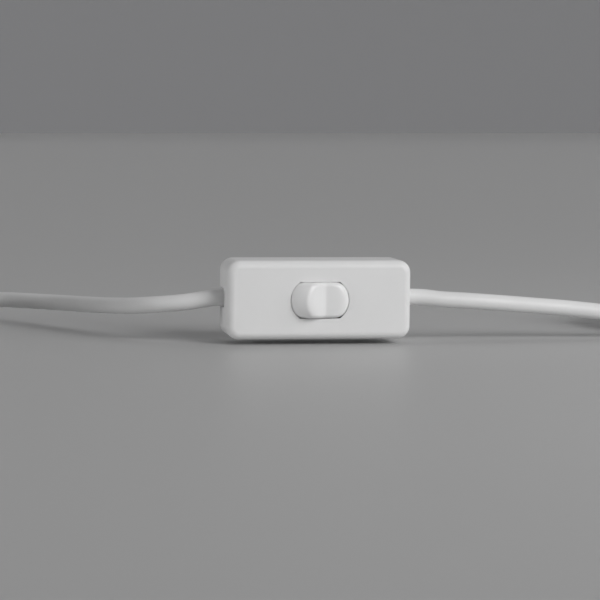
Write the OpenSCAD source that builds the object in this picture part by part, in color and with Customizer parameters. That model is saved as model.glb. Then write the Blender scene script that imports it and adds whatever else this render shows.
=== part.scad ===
// In-line cord switch with a rocker, standing on its long edge, with both cords and the plug.
// Millimetres. X runs along the cords, the rocker faces -Y, and Z is up.
// The origin is the middle of the long side that the housing stands on.

/* [Housing] */
// Length along the cords
body_l = 60; // [58:1:70]
// Height, standing on its long side
body_h = 25.4; // [25:0.2:32]
// Depth of the front shell, from its face to the parting line
front_d = 12; // [11.5:0.5:15]
// Depth of the back shell, from the parting line to its face
back_d = 8; // [8:0.5:11]
// Wall thickness of both shells
wall = 2; // [1.6:0.1:2.2]
// Radius of the four corners, seen from the front
corner_r = 4; // [3.5:0.25:6]
// Radius of the rounded rim round each face
rim_r = 2.5; // [1:0.25:3]
// Radius of the rounding inside each shell
inner_rim_r = 0.8; // [0.4:0.1:1.2]

/* [Rocker] */
// Depth of the rocker's pivot behind the front face
pivot_depth = 5.6; // [5.2:0.1:6]
// Radius of the rocker's flank about its pivot, at mid height
flank_r = 10.9; // [10.5:0.1:11.3]
// Radius of the rounded ends of the flank
flank_round_r = 7.9; // [7.5:0.1:9]
// Height of the rocker
rocker_h = 11.4; // [10.4:0.2:12]
// Slope of the two finger pads
pad_angle = 20; // [14:1:22]
// Distance of the valley between the pads from the pivot
valley_r = 6.9; // [6.7:0.1:7.4]
// Tilt of the rocker either side of straight
rocker_tilt = 13; // [10:1:14]
// Gap round the rocker in its opening
rocker_gap = 0.2; // [0.2:0.05:0.4]
// Wall thickness of the rocker
rocker_wall = 1.5; // [1.2:0.1:1.8]
// Radius of the rocker's trunnions
trunnion_r = 1.25; // [1:0.05:1.5]
// Running clearance of the trunnions
pivot_gap = 0.05; // [0.03:0.01:0.08]
// Width of the stem that holds the plunger
stem_w = 6; // [5:0.5:7]
// Length of plunger that shows behind the stem
plunger_free_l = 2.8; // [2.4:0.1:3]

/* [Snap action] */
// Radius of the plunger
plunger_r = 1.4; // [1.1:0.1:1.6]
// Sliding clearance of the plunger in the stem
plunger_gap = 0.1; // [0.05:0.05:0.2]
// Wire thickness of the plunger's spring
spring_wire = 0.4; // [0.3:0.05:0.5]
// Curls of the plunger's spring
spring_curls = 5; // [3:1:5]

/* [Contacts] */
// Thickness of the brass strips
strip_t = 1; // [0.8:0.1:1.2]
// Thickness of the contact lever
lever_t = 0.8; // [0.6:0.1:1]
// Width of the contact lever
lever_w = 6; // [5:0.5:7]
// Length of each arm of the contact lever past its contact point
lever_end = 0.3; // [0.2:0.05:0.5]
// Slope of each arm, and tilt of the lever either side of straight
lever_tilt = 7; // [5:1:8]
// Distance of the lever's top from its pin's axis
lever_rise = 1.7; // [1.6:0.1:1.8]
// Radius of the lever's pin
lever_pin_r = 0.8; // [0.6:0.05:0.9]
// Wall of the knuckle round the lever's pin
knuckle_wall = 0.45; // [0.4:0.05:0.5]
// Distance of the contact points from the lever's pin
contact_x = 6.8; // [6.4:0.1:7]
// Radius of the contact points
contact_r = 1.4; // [1.1:0.1:1.5]
// Height of the moving contact point
contact_t = 0.7; // [0.5:0.1:0.9]
// Space left between the contact points when closed
contact_gap = 0.2; // [0.1:0.05:0.3]

/* [Terminals] */
// Width of a live terminal block along the cords
terminal_w = 4.6; // [4:0.2:5]
// Height of a terminal block
terminal_h = 4; // [3.8:0.1:4.4]
// Distance of the live terminals' inner side from the middle
terminal_x = 10.2; // [10:0.1:10.6]
// Height of the live terminals' holes above the cord's axis
live_rise = 1.6; // [1.4:0.1:1.8]
// Gap between the neutral link and the rounding inside the back shell
neutral_gap = 0.1; // [0.1:0.05:0.4]
// Room for a bent core between the neutral link and a housing screw's boss
core_room = 6.3; // [6:0.1:7]
// Radius of the holes for the conductors
wire_hole_r = 1.1; // [0.9:0.05:1.2]
// Radius of the terminal screws
terminal_screw_r = 1.1; // [0.9:0.05:1.25]
// Radius of the terminal screws' heads
terminal_head_r = 1.7; // [1.5:0.1:1.8]

/* [Fasteners] */
// Radius of the housing screws
housing_screw_r = 1.25; // [1:0.05:1.4]
// Radius of the housing screws' heads
housing_head_r = 2.1; // [1.8:0.1:2.2]
// Gap between a housing screw's boss and its neighbours
boss_gap = 0.3; // [0.3:0.05:0.6]
// Radius of the grip screws
grip_screw_r = 0.9; // [0.7:0.05:1]
// Room between a thread and its hole
thread_gap = 0.05; // [0.03:0.01:0.1]

/* [Cord] */
// Diameter of the cord
cord_d = 5.4; // [5:0.1:5.6]
// Room round the cord in its entry
entry_gap = 0.3; // [0.2:0.05:0.5]
// Depth and spread of the entry's flared mouth
entry_flare = 0.4; // [0.2:0.1:0.6]
// Depth of the groove in which each cord leaves its end, open to the back
groove_d = 1.5; // [1:0.1:1.8]
// Reach of the groove in front of the cord's axis, besides its rounding
groove_front = 1.5; // [1:0.1:2]
// Diameter of one insulated core
core_d = 2.1; // [1.8:0.1:2.3]
// Diameter of one stripped conductor
strand_d = 1.1; // [0.8:0.1:1.2]
// Gap between a grip bar and the housing's end wall
grip_room = 2; // [1.6:0.1:2.4]
// Width of a grip bar along the cord
grip_w = 4; // [3:0.2:4]
// Thickness of a grip bar
grip_t = 2.6; // [2:0.1:3]
// Gap between the cord and a grip screw's post
grip_post_gap = 0.8; // [0.5:0.1:1]
// Length of sheath that shows past a grip bar
sheath_free_l = 1.5; // [1:0.1:2]

/* [Coils] */
// Gap between neighbouring turns of a coil
coil_gap = 0.5; // [0.5:0.1:1]
// Inner radius of the plug side's coil, at the cord's axis
plug_coil_r = 21.6; // [21.6:0.1:23]
// Inner radius of the lamp side's coil, at the cord's axis
lamp_coil_r = 24; // [22:0.1:25]
// Thickness of a coil's tie
tie_t = 0.8; // [0.5:0.1:1]
// Width of a coil's tie
tie_w = 8; // [5:0.5:10]
// Room between a tie and its coil
tie_gap = 0.3; // [0.2:0.05:0.5]

/* [Plug] */
// Width of the plug across its two pins
plug_w = 34; // [30:0.5:36]
// Thickness of the plug
plug_t = 13; // [12:0.2:14]
// Length of the plug's body
plug_l = 31; // [28:0.5:35]
// Length of the plug's strain relief
relief_l = 22; // [20:1:30]
// Length of the pins in front of the plug
pin_l = 19; // [17:0.5:20]
// Length of the bare metal at the pins' ends
pin_bare_l = 9; // [7:0.5:10]
// Distance between the two pins
pin_spacing = 18.6; // [17:0.2:19]
// Radius of the pins' bare metal
pin_r = 2; // [1.9:0.05:2.2]
// Radius of the pins under their sleeves
pin_core_r = 1.4; // [1.3:0.05:1.5]

/* [Hidden] */
$fn = 48;
// Overshoot of a cut past the face that it opens
cut = 1;
// Overlap that joins two shapes of one piece
join = 0.4;

front_y = -(front_d + back_d) / 2;
back_y = (front_d + back_d) / 2;
part_y = front_y + front_d;
inside_front_y = front_y + wall;
inside_back_y = back_y - wall;
mid_z = body_h / 2;
end_x = body_l / 2;
cord_r = cord_d / 2;
core_r = core_d / 2;
strand_r = strand_d / 2;

pivot_y = front_y + pivot_depth;
flank_centre_r = flank_r - flank_round_r;
rocker_half = rocker_h / 2;
skirt_gap = 1.5;
skirt_y = -skirt_gap;
cheek_w = 5;
cheek_back = 2;
cheek_front = 5;
lug_gap = 0.35;
lug_t = 2.2;
lug_w = 5.6;
lug_z = rocker_half + lug_gap;
trunnion_end_gap = 0.3;
lug_wall = 1.35;
trunnion_l = lug_gap + lug_t - trunnion_end_gap;
lug_back = trunnion_r + lug_wall;
stem_h = 7;
stem_front = valley_r - join;
bore_end_wall = 2.4;
spring_top = valley_r - bore_end_wall;
plunger_top = 1.2;
bore_r = plunger_r + plunger_gap;
spring_r = bore_r - spring_wire;

// Behind the rocker come the lever's roof, its pin and the strip on the back wall
strip_y = inside_back_y - strip_t;
knuckle_r = lever_pin_r + pivot_gap + knuckle_wall;
knuckle_gap = 0.3;
lever_y = strip_y - knuckle_gap - knuckle_r;
lever_top_y = lever_y - lever_rise;
// Gap between the plunger's tip and the roof as the tip passes the middle
snap_gap = 0.3;
plunger_reach = lever_top_y - snap_gap - pivot_y;
plunger_back = plunger_reach - plunger_r;
stem_l = plunger_reach - plunger_free_l;
closed_y = lever_top_y + lever_t + contact_t;
lever_arm = contact_x + contact_r + lever_end;
contact_shank_r = 0.7;
contact_head_t = 0.4;
ear_gap = 0.3;
ear_t = 0.9;
ear_wall = 0.8;
ear_w = 2 * (lever_pin_r + ear_wall);
ear_z = lever_w / 2 + ear_gap;
stop_w = 1.6;
stop_x = lever_arm - stop_w;
stop_gap = 0.35;

live_z = mid_z + live_rise;
neutral_z = wall + inner_rim_r + neutral_gap + terminal_h / 2;
terminal_out_x = terminal_x + terminal_w;
live_block_d = 6;
neutral_block_d = 4.8;
live_front_y = strip_y - live_block_d;
neutral_front_y = strip_y - neutral_block_d;
hole_depth = 2.4;
live_hole_y = live_front_y + hole_depth;
neutral_hole_y = neutral_front_y + hole_depth;
terminal_head_t = 1.6;
terminal_screw_l = hole_depth - strand_r - thread_gap;
strip_end_x = 2.4;
strip_margin = 0.8;
strip_start_x = contact_x - contact_r - strip_margin;
conductor_l = 4;

head_t = 1.6;
head_sink = 1.4;
head_room = 0.2;
shank_room = 0.25;
boss_wall = 0.9;
back_boss_r = housing_head_r + head_room + boss_wall;
front_boss_wall = 1.35;
front_boss_r = housing_screw_r + front_boss_wall;
head_seat_y = back_y - head_sink - head_t;
housing_thread_l = 6;
housing_screw_l = head_seat_y - part_y + housing_thread_l;
grip_x = end_x - wall - grip_room - grip_w / 2;
housing_screw_x = grip_x - grip_w / 2 - boss_gap - back_boss_r;
housing_screw_z = mid_z - wall - boss_gap - back_boss_r;
neutral_l = 2 * (housing_screw_x - back_boss_r - core_room);
neutral_screw_inset = 3.4;
neutral_screw_x = neutral_l / 2 - neutral_screw_inset;
slot_w = 0.6;
slot_t = 0.7;

entry_r = cord_r + entry_gap;
// Wall behind and beside an entry's groove
entry_wall = 1.5;
groove_y = part_y - groove_front;
entry_pad_half = entry_r + entry_flare + entry_wall;
entry_pad_x = end_x - groove_d - entry_wall;

grip_gap = 0.05;
grip_bite = 0.4;
grip_back_y = part_y - cord_r + grip_bite;
grip_front_y = grip_back_y - grip_t;
grip_end = 2;
grip_post_wall = 1;
grip_post_r = grip_screw_r + grip_post_wall;
grip_screw_z = cord_r + grip_post_gap + grip_post_r;
grip_half = grip_screw_z + grip_end;
sheath_end_x = grip_x - grip_w / 2 - sheath_free_l;
grip_head_r = 1.6;
grip_head_t = 1.2;
grip_screw_l = 7;
saddle_w = 3;
saddle_h = 5;

// Heights and places of the coils, on the surface that the housing stands on
coil_pitch = cord_d + coil_gap;
coil_low = tie_t + tie_gap + cord_r;
plug_coil_at = [-141, 54];
plug_coil_turns = 4 + 290 / 360;
plug_coil_entry = 70;
plug_tie_angle = 150;
lamp_coil_turns = 2.25;
lamp_coil_entry = 270;
lamp_coil_y = 5;
lamp_coil_at = [144, lamp_coil_y + lamp_coil_r + coil_pitch * lamp_coil_turns / 2];
lamp_tie_angle = 60;
rings_per_loop = 24;
coil_sides = 6;
cord_sides = 10;
core_sides = 8;
core_steps = 8;
core_straight = 0.6;
curl_steps = 8;
curl_sides = 6;

// The plug lies on its coil, with its pins towards the front
plug_z = coil_low + coil_pitch + cord_r + tie_gap + plug_t / 2;
plug_at = [-153.2, 58];
relief_wall = 0.7;
relief_small_r = cord_r + relief_wall;
relief_big_r = 5.2;
plug_neck = 6.6;
plug_shoulder = 9;
plug_cheek = 6;
plug_slope = 2;
pin_hold_l = 10;
pin_fit_gap = 0.03;
pin_point = 0.8;
sleeve_step = 0.2;
sleeve_r = pin_r - sleeve_step;
sleeve_l = pin_l - pin_bare_l;

// Route points, chosen by hand, after the straight end where each cord leaves the housing
left_route = [
  [-37, 2.2, 12.05], [-42.2, 2.8, 11.25], [-48, 5.2, 10.5], [-53, 9, 9.85], [-57, 14.2, 9.15],
  [-61, 21, 8.55], [-66, 29.7, 7.95], [-71.5, 39.3, 7.45], [-77, 48.8, 7.05], [-83, 58.5, 6.6],
  [-90.5, 67.8, 6.3], [-99, 75.6, 6], [-108.5, 80.2, 5]
];
right_route = [
  [36.5, 2, 12.55], [42, 2.1, 11.9], [51, 2.7, 11.3], [60, 3.5, 10.6], [72, 4.5, 9.6], [84, 5, 8.6],
  [96, 5, 7.4], [108, 5, 6], [120, 5, 4.6]
];
plug_lead_route = [
  [-106.6, 70.3, 10.2], [-110.8, 77.5, 11.5], [-117.2, 82.9, 13.3], [-125, 85.7, 15.3],
  [-133.4, 85.7, 17.1], [-141.2, 82.9, 18.5], [-147.6, 77.5, 19.1], [-151.8, 70.3, 19.2],
  [-153.2, 62.1, 19.2]
];
// From the end of the lamp side's coil
tail_route = [
  [0, 9, -0.7], [-0.3, 15.5, -2.4], [-1, 22, -4], [-1.6, 28.5, -4.8], [-1.6, 31.2, -4.8]
];
tail_core_l = 12;
tail_core_steps = 6;
tail_spread = 3;
ferrule_l = 6;
collar_l = 4;
collar_r = 1.5;
ferrule_r = 0.8;
ferrule_lift = 0.1;
ferrule_z = collar_r + ferrule_lift;

// A value that eases from 0 to 1 as t goes from 0 to 1
function ease(t) = t <= 0 ? 0 : t >= 1 ? 1 : t * t * (3 - 2 * t);
function unit(v) = v / norm(v);

// Points of a quarter round about c, from the first axis to the second
function quarter(c, r, n = 8) = [for (i = [0:n]) c + r * [cos(90 * i / n), sin(90 * i / n)]];

// Direction of a line of points at its point i
function heading(p, i) = unit(p[min(i + 1, len(p) - 1)] - p[max(i - 1, 0)]);

// One ring of a tube, square to the line
function ring(p, i, r, sides) =
  let (t = heading(p, i), side = unit(cross(t, [0, 0, 1])), up = cross(side, t))
  [for (k = [0:sides - 1]) p[i] + r * (cos(360 * k / sides) * side + sin(360 * k / sides) * up)];

// A round tube along a line of points
module tube(p, r, sides) {
  n = len(p);
  points = [for (i = [0:n - 1]) each ring(p, i, r, sides)];
  walls = [
    for (i = [0:n - 2], k = [0:sides - 1])
      let (a = i * sides, b = a + sides, l = (k + 1) % sides)
        each [[a + k, a + l, b + l], [a + k, b + l, b + k]]
  ];
  caps = [
    for (k = [1:sides - 2])
      let (b = (n - 1) * sides)
        each [[0, k + 1, k], [b, b + k, b + k + 1]]
  ];
  polyhedron(points = points, faces = concat(walls, caps));
}

// Where a two-layer coil's cord lies after a turn of some degrees: in along the lower layer, up a
// layer in the half turn where the spiral reverses, and out along the upper layer
function coil_point(at, entry, inner, turns, a) =
  let (back = a - turns * 180, r = inner + coil_pitch * abs(back) / 360)
  [
    at.x + r * cos(entry + a), at.y + r * sin(entry + a),
    coil_low + coil_pitch * ease((back + 90) / 180)
  ];

// The whole line of a coil, with a straight end one cord wide at each end
function coil_line(at, entry, inner, turns) =
  let (
    n = ceil(turns * rings_per_loop), leave = entry + turns * 360,
    p = [for (i = [0:n]) coil_point(at, entry, inner, turns, i * turns * 360 / n)]
  )
  concat(
    [p[0] - cord_d * [-sin(entry), cos(entry), 0]], p,
    [p[n] + cord_d * [-sin(leave), cos(leave), 0]]
  );

// Least gap between turns of a wound tube that are at least two thirds of a loop apart
function least_gap(p, rings, d) =
  let (far = ceil(rings * 2 / 3))
  min([for (i = [0:len(p) - 1 - far], j = [i + far:len(p) - 1]) norm(p[i] - p[j])]) - d;

// The line of the plunger's spring, along its bore
spring_low = spring_wire - spring_top;
spring_high = plunger_top - spring_wire;
spring_steps = spring_curls * curl_steps;
spring_line = [
  for (i = [0:spring_steps])
    let (a = i * 360 / curl_steps)
      [spring_r * cos(a), spring_r * sin(a), spring_low + (spring_high - spring_low) * i / spring_steps]
];

plug_coil_line = coil_line(plug_coil_at, plug_coil_entry, plug_coil_r, plug_coil_turns);
lamp_coil_line = coil_line(lamp_coil_at, lamp_coil_entry, lamp_coil_r, lamp_coil_turns);
plug_coil_gap = least_gap(plug_coil_line, rings_per_loop, cord_d);
lamp_coil_gap = least_gap(lamp_coil_line, rings_per_loop, cord_d);
spring_gap = least_gap(spring_line, curl_steps, spring_wire);
echo(str("least gap of the plug side's coil: ", plug_coil_gap, " mm"));
echo(str("least gap of the lamp side's coil: ", lamp_coil_gap, " mm"));
echo(str("least gap of the plunger's spring: ", spring_gap, " mm"));

// A coil's end carried on, straight, by some part of its last step
function before(p, share) = p[0] + share * (p[0] - p[1]);
function after(p, share) = let (n = len(p) - 1) p[n] + share * (p[n] - p[n - 1]);

straight_x = end_x + cord_r;
left_line = concat(
  [[-end_x, part_y, mid_z], [-straight_x, part_y, mid_z]], left_route,
  [before(plug_coil_line, 1), plug_coil_line[0]]
);
right_line = concat(
  [[end_x, part_y, mid_z], [straight_x, part_y, mid_z]], right_route,
  [before(lamp_coil_line, 1), lamp_coil_line[0]]
);
plug_lead_end = [plug_at.x, plug_at.y, plug_z];
plug_lead_line = concat(
  [after(plug_coil_line, 0), after(plug_coil_line, 0.5)], plug_lead_route, [plug_lead_end]
);
tail_start = after(lamp_coil_line, 0);
tail_line = concat(
  [tail_start, after(lamp_coil_line, 0.5)], [for (p = tail_route) tail_start + p]
);
tail_end = tail_line[len(tail_line) - 1];

// A round bar along X or Y, from the place where it is put
module bar_x(l, r) rotate([0, 90, 0]) cylinder(h = l, r = r);
module bar_y(l, r) rotate([-90, 0, 0]) cylinder(h = l, r = r);
// A box between two corners
module span(a, b) translate(a) cube(b - a);

// Turn a shape drawn upwards so that it points to the front or to the back
module to_front(y) translate([0, y, mid_z]) rotate([90, 0, 0]) children();
module to_back(y) translate([0, y, mid_z]) rotate([-90, 0, 0]) children();

// Section of a wall of a shell, with its rounded rim
module wall_section(reach, depth, rim) {
  polygon(concat([[0, 0], [reach, 0]], quarter([reach - rim, depth - rim], rim), [[0, depth]]));
}

// A block with rounded corners and a rounded upper rim
module soft_block(l, w, depth, corner, rim) {
  linear_extrude(depth) square([l - 2 * corner, w - 2 * corner], center = true);
  for (turn = [0:3]) {
    across = turn % 2 == 0 ? l : w;
    side = turn % 2 == 0 ? w : l;
    rotate(90 * turn) translate([across / 2 - corner, side / 2 - corner, 0]) {
      rotate([90, 0, 0]) linear_extrude(side - 2 * corner) wall_section(corner, depth, rim);
      rotate_extrude(angle = 90) wall_section(corner, depth, rim);
    }
  }
}

// One hollow shell, open downwards
module tray(depth) {
  difference() {
    soft_block(body_l, body_h, depth, corner_r, rim_r);
    translate([0, 0, -cut])
      soft_block(
        body_l - 2 * wall, body_h - 2 * wall, depth - wall + cut, corner_r - wall, inner_rim_r
      );
  }
}

// The two cords' entries: a round hole in the bottom of a groove that is open to the back and has a
// flared mouth
module cord_entries() {
  mouth = entry_r + entry_flare;
  reach = back_y + cut - groove_y;
  for (flip = [0, 1]) mirror([flip, 0, 0]) translate([0, 0, mid_z]) {
    translate([entry_pad_x - cut, part_y, 0]) bar_x(end_x - entry_pad_x + 2 * cut, entry_r);
    translate([end_x - groove_d, groove_y, 0]) {
      bar_x(groove_d + cut, entry_r);
      span([0, 0, -entry_r], [groove_d + cut, reach, entry_r]);
    }
    translate([end_x - entry_flare, groove_y, 0]) {
      rotate([0, 90, 0]) cylinder(h = entry_flare + cut, r1 = entry_r, r2 = mouth + cut);
      translate([0, reach, 0]) rotate([90, 0, 0]) linear_extrude(reach)
        polygon([
          [0, -entry_r], [entry_flare + cut, -mouth - cut],
          [entry_flare + cut, mouth + cut], [0, entry_r]
        ]);
    }
  }
}

// Pads that thicken the end walls behind the entries' grooves, between two depths
module entry_pads(from_y, to_y) {
  for (flip = [0, 1]) mirror([flip, 0, 0])
    span(
      [entry_pad_x, from_y, mid_z - entry_pad_half],
      [end_x - wall + join, to_y, mid_z + entry_pad_half]
    );
}

// Places of the two housing screws, corner to corner
module at_housing_screws() {
  for (side = [-1, 1])
    translate([side * housing_screw_x, 0, mid_z - side * housing_screw_z]) children();
}

// Places of the four grip screws
module at_grip_screws() {
  for (side = [-1, 1], up = [-1, 1])
    translate([side * grip_x, 0, mid_z + up * grip_screw_z]) children();
}

// A screw whose head lies in front of its seat and whose shank runs to +Y
module screw(head_r, head_t, shank_r, shank_l) {
  difference() {
    union() {
      translate([0, -head_t, 0]) bar_y(head_t, head_r);
      bar_y(shank_l, shank_r);
    }
    span([-head_r - cut, -head_t - cut, -slot_w / 2], [head_r + cut, slot_t - head_t, slot_w / 2]);
  }
}

// The rocker's barrel about its pivot, drawn in or out by an inset
module barrel(inset) {
  half = rocker_half - inset;
  rotate_extrude() intersection() {
    translate([flank_centre_r, 0]) circle(flank_round_r - inset);
    translate([0, -half]) square([flank_r + cut, 2 * half]);
  }
}

// The front half of the barrel under the two pads
module rocker_form(inset) {
  far = 2 * flank_r;
  valley = valley_r - inset / cos(pad_angle);
  rise = valley + far * tan(pad_angle);
  difference() {
    intersection() {
      barrel(inset);
      span([-far, -far, -far], [far, skirt_y + (inset > 0 ? cut : 0), far]);
    }
    translate([0, 0, -far]) linear_extrude(2 * far)
      polygon([[0, -valley], [far, -rise], [far, -3 * far], [-far, -3 * far], [-far, -rise]]);
  }
}

module at_rocker() translate([0, pivot_y, mid_z]) rotate(rocker_tilt) children();
module at_lever() translate([0, lever_y, mid_z]) rotate(-lever_tilt) children();

module front_shell() {
  color("#f1f1ee") difference() {
    union() {
      to_front(part_y) tray(front_d);
      for (up = [-1, 1]) {
        low = up > 0 ? lug_z : -lug_z - lug_t;
        translate([0, 0, mid_z])
          span(
            [-lug_w / 2, inside_front_y - join, low],
            [lug_w / 2, pivot_y + lug_back, low + lug_t]
          );
      }
      at_housing_screws()
        translate([0, inside_front_y - join, 0]) bar_y(part_y - inside_front_y + join, front_boss_r);
      entry_pads(groove_y - entry_pad_half, part_y);
    }
    translate([0, pivot_y, mid_z]) barrel(-rocker_gap);
    translate([0, pivot_y, mid_z - lug_z - lug_t - cut])
      cylinder(h = 2 * (lug_z + lug_t + cut), r = trunnion_r + pivot_gap);
    at_housing_screws()
      translate([0, inside_front_y + cut, 0])
        bar_y(part_y - inside_front_y, housing_screw_r + thread_gap);
    cord_entries();
  }
}

module back_shell() {
  color("#f1f1ee") difference() {
    union() {
      to_back(part_y) tray(back_d);
      at_housing_screws()
        translate([0, part_y, 0]) bar_y(inside_back_y - part_y + join, back_boss_r);
      at_grip_screws()
        translate([0, grip_back_y, 0]) bar_y(inside_back_y - grip_back_y + join, grip_post_r);
      for (side = [-1, 1])
        translate([side * grip_x, 0, mid_z])
          span(
            [-saddle_w / 2, part_y, -saddle_h / 2],
            [saddle_w / 2, inside_back_y + join, saddle_h / 2]
          );
      entry_pads(part_y, inside_back_y + join);
    }
    at_housing_screws() {
      translate([0, part_y - cut, 0]) bar_y(back_d + 2 * cut, housing_screw_r + shank_room);
      translate([0, head_seat_y, 0]) bar_y(back_y - head_seat_y + cut, housing_head_r + head_room);
    }
    at_grip_screws()
      translate([0, grip_back_y - cut, 0]) bar_y(grip_screw_l, grip_screw_r + thread_gap);
    translate([-grip_x - grip_w, part_y, mid_z]) bar_x(2 * (grip_x + grip_w), cord_r + grip_gap);
    cord_entries();
  }
}

module housing_screws() {
  color("#b9bcc0") at_housing_screws()
    translate([0, head_seat_y, 0]) rotate(180)
      screw(housing_head_r, head_t, housing_screw_r, housing_screw_l);
}

module rocker() {
  color("#f4f4f2") at_rocker() difference() {
    union() {
      difference() {
        rocker_form(0);
        rocker_form(rocker_wall);
      }
      span([-stem_w / 2, -stem_front, -stem_h / 2], [stem_w / 2, stem_l, stem_h / 2]);
      for (up = [-1, 1]) {
        low = up > 0 ? rocker_half - rocker_wall : -rocker_half;
        span([-cheek_w / 2, -cheek_front, low], [cheek_w / 2, cheek_back, low + rocker_wall]);
      }
      for (flip = [0, 180]) rotate([flip, 0, 0])
        translate([0, 0, rocker_half - rocker_wall / 2])
          cylinder(h = rocker_wall / 2 + trunnion_l, r = trunnion_r);
    }
    translate([0, -spring_top, 0]) bar_y(spring_top + stem_l + cut, bore_r);
  }
}

module plunger() {
  color("#d9d6c8") at_rocker() {
    translate([0, plunger_top, 0]) bar_y(plunger_back - plunger_top, plunger_r);
    translate([0, plunger_back, 0]) rotate([-90, 0, 0]) rotate_extrude() intersection() {
      circle(plunger_r);
      square(2 * plunger_r);
    }
  }
}

module plunger_spring() {
  color("#c4c6c8") at_rocker() rotate([-90, 0, 0]) tube(spring_line, spring_wire / 2, curl_sides);
}

module contact_lever() {
  color("#c9a25a") at_lever() difference() {
    union() {
      for (side = [-1, 1]) rotate(-side * lever_tilt)
        span(
          [side > 0 ? -join : -lever_arm, -lever_rise, -lever_w / 2],
          [side > 0 ? lever_arm : join, lever_t - lever_rise, lever_w / 2]
        );
      translate([0, 0, -lever_w / 2]) cylinder(h = lever_w, r = knuckle_r);
    }
    translate([0, 0, -lever_w / 2 - cut]) cylinder(h = lever_w + 2 * cut, r = lever_pin_r + pivot_gap);
    rotate(-lever_tilt) translate([contact_x, -lever_rise - cut, 0])
      bar_y(lever_t + 2 * cut, contact_shank_r);
  }
}

module moving_contact() {
  color("#d7d8da") at_lever() rotate(-lever_tilt) translate([contact_x, -lever_rise, 0]) {
    translate([0, -contact_head_t, 0]) bar_y(contact_head_t, contact_shank_r + contact_head_t);
    bar_y(lever_t, contact_shank_r);
    translate([0, lever_t, 0]) bar_y(contact_t, contact_r);
  }
}

module lever_pin() {
  l = 2 * (ear_z + ear_t);
  color("#aeb1b5") translate([0, lever_y, mid_z - l / 2]) cylinder(h = l, r = lever_pin_r);
}

// A live terminal's block on the right, with its wire hole and screw hole
module live_block() {
  difference() {
    span(
      [terminal_x, live_front_y, live_z - terminal_h / 2],
      [terminal_out_x, inside_back_y, live_z + terminal_h / 2]
    );
    translate([terminal_x - cut, live_hole_y, live_z]) bar_x(terminal_w + 2 * cut, wire_hole_r);
    translate([terminal_x + terminal_w / 2, live_front_y - cut, live_z])
      bar_y(hole_depth + cut, terminal_screw_r + thread_gap);
  }
}

module live_in_terminal() {
  ear_out = ear_z + ear_t;
  color("#caa65e") difference() {
    union() {
      mirror([1, 0, 0]) live_block();
      span(
        [-terminal_out_x, strip_y, mid_z - ear_out],
        [strip_end_x, inside_back_y, mid_z + ear_out]
      );
      for (up = [-1, 1]) {
        low = mid_z + (up > 0 ? ear_z : -ear_out);
        span(
          [-ear_w / 2, lever_y - ear_w / 2, low],
          [ear_w / 2, strip_y + strip_t / 2, low + ear_t]
        );
      }
      span(
        [-stop_x - stop_w / 2, lever_top_y + lever_t + stop_gap, mid_z - stop_w],
        [-stop_x + stop_w / 2, strip_y + strip_t / 2, mid_z + stop_w]
      );
    }
    translate([0, lever_y, mid_z - ear_out - cut])
      cylinder(h = 2 * (ear_out + cut), r = lever_pin_r + pin_fit_gap);
  }
}

module live_out_terminal() {
  color("#caa65e") difference() {
    union() {
      live_block();
      span(
        [strip_start_x, strip_y, mid_z - lever_w / 2],
        [terminal_out_x, inside_back_y, mid_z + lever_w / 2]
      );
    }
    translate([contact_x, strip_y - cut, mid_z]) bar_y(strip_t + 2 * cut, contact_shank_r);
  }
}

module fixed_contact() {
  face_y = closed_y + contact_gap;
  color("#d7d8da") translate([contact_x, face_y, mid_z]) {
    bar_y(strip_y - face_y, contact_r);
    translate([0, strip_y - face_y, 0]) bar_y(strip_t, contact_shank_r);
  }
}

module neutral_link() {
  color("#caa65e") difference() {
    span(
      [-neutral_l / 2, neutral_front_y, neutral_z - terminal_h / 2],
      [neutral_l / 2, inside_back_y, neutral_z + terminal_h / 2]
    );
    translate([-neutral_l / 2 - cut, neutral_hole_y, neutral_z]) bar_x(neutral_l + 2 * cut, wire_hole_r);
    for (side = [-1, 1])
      translate([side * neutral_screw_x, neutral_front_y - cut, neutral_z])
        bar_y(hole_depth + cut, terminal_screw_r + thread_gap);
  }
}

module terminal_screws() {
  color("#b9bcc0") for (side = [-1, 1]) {
    translate([side * (terminal_x + terminal_w / 2), live_front_y, live_z])
      screw(terminal_head_r, terminal_head_t, terminal_screw_r, terminal_screw_l);
    translate([side * neutral_screw_x, neutral_front_y, neutral_z])
      screw(terminal_head_r, terminal_head_t, terminal_screw_r, terminal_screw_l);
  }
}

// A grip bar across the cord on one side
module cord_grip(side) {
  color("#e4e3df") translate([side * grip_x, 0, mid_z]) difference() {
    span([-grip_w / 2, grip_front_y, -grip_half], [grip_w / 2, grip_back_y, grip_half]);
    translate([-grip_w, part_y, 0]) bar_x(2 * grip_w, cord_r + grip_gap);
    for (up = [-1, 1])
      translate([0, grip_front_y - cut, up * grip_screw_z])
        bar_y(grip_t + 2 * cut, grip_screw_r + shank_room);
  }
}

module left_cord_grip() cord_grip(-1);
module right_cord_grip() cord_grip(1);

module cord_grip_screws() {
  color("#b9bcc0") at_grip_screws()
    translate([0, grip_front_y, 0]) screw(grip_head_r, grip_head_t, grip_screw_r, grip_screw_l);
}

// The cord's end inside the housing on one side
module sheath_end(side) {
  color("#ecebe7") translate([side > 0 ? sheath_end_x : -end_x, part_y, mid_z])
    bar_x(end_x - sheath_end_x, cord_r);
}

module left_sheath_end() sheath_end(-1);
module right_sheath_end() sheath_end(1);

// A line of points from a to b that runs along one axis, straight at both ends, and eases across
// the other two
function eased_line(a, b, along, steps) =
  let (
    lead = core_straight * sign(b[along] - a[along]),
    step = [for (k = [0:2]) k == along ? lead : 0], from = a + step, to = b - step
  )
  concat(
    [a],
    [
      for (i = [0:steps])
        let (t = i / steps)
          [for (k = [0:2]) from[k] + (to[k] - from[k]) * (k == along ? t : ease(t))]
    ],
    [b]
  );

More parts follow.
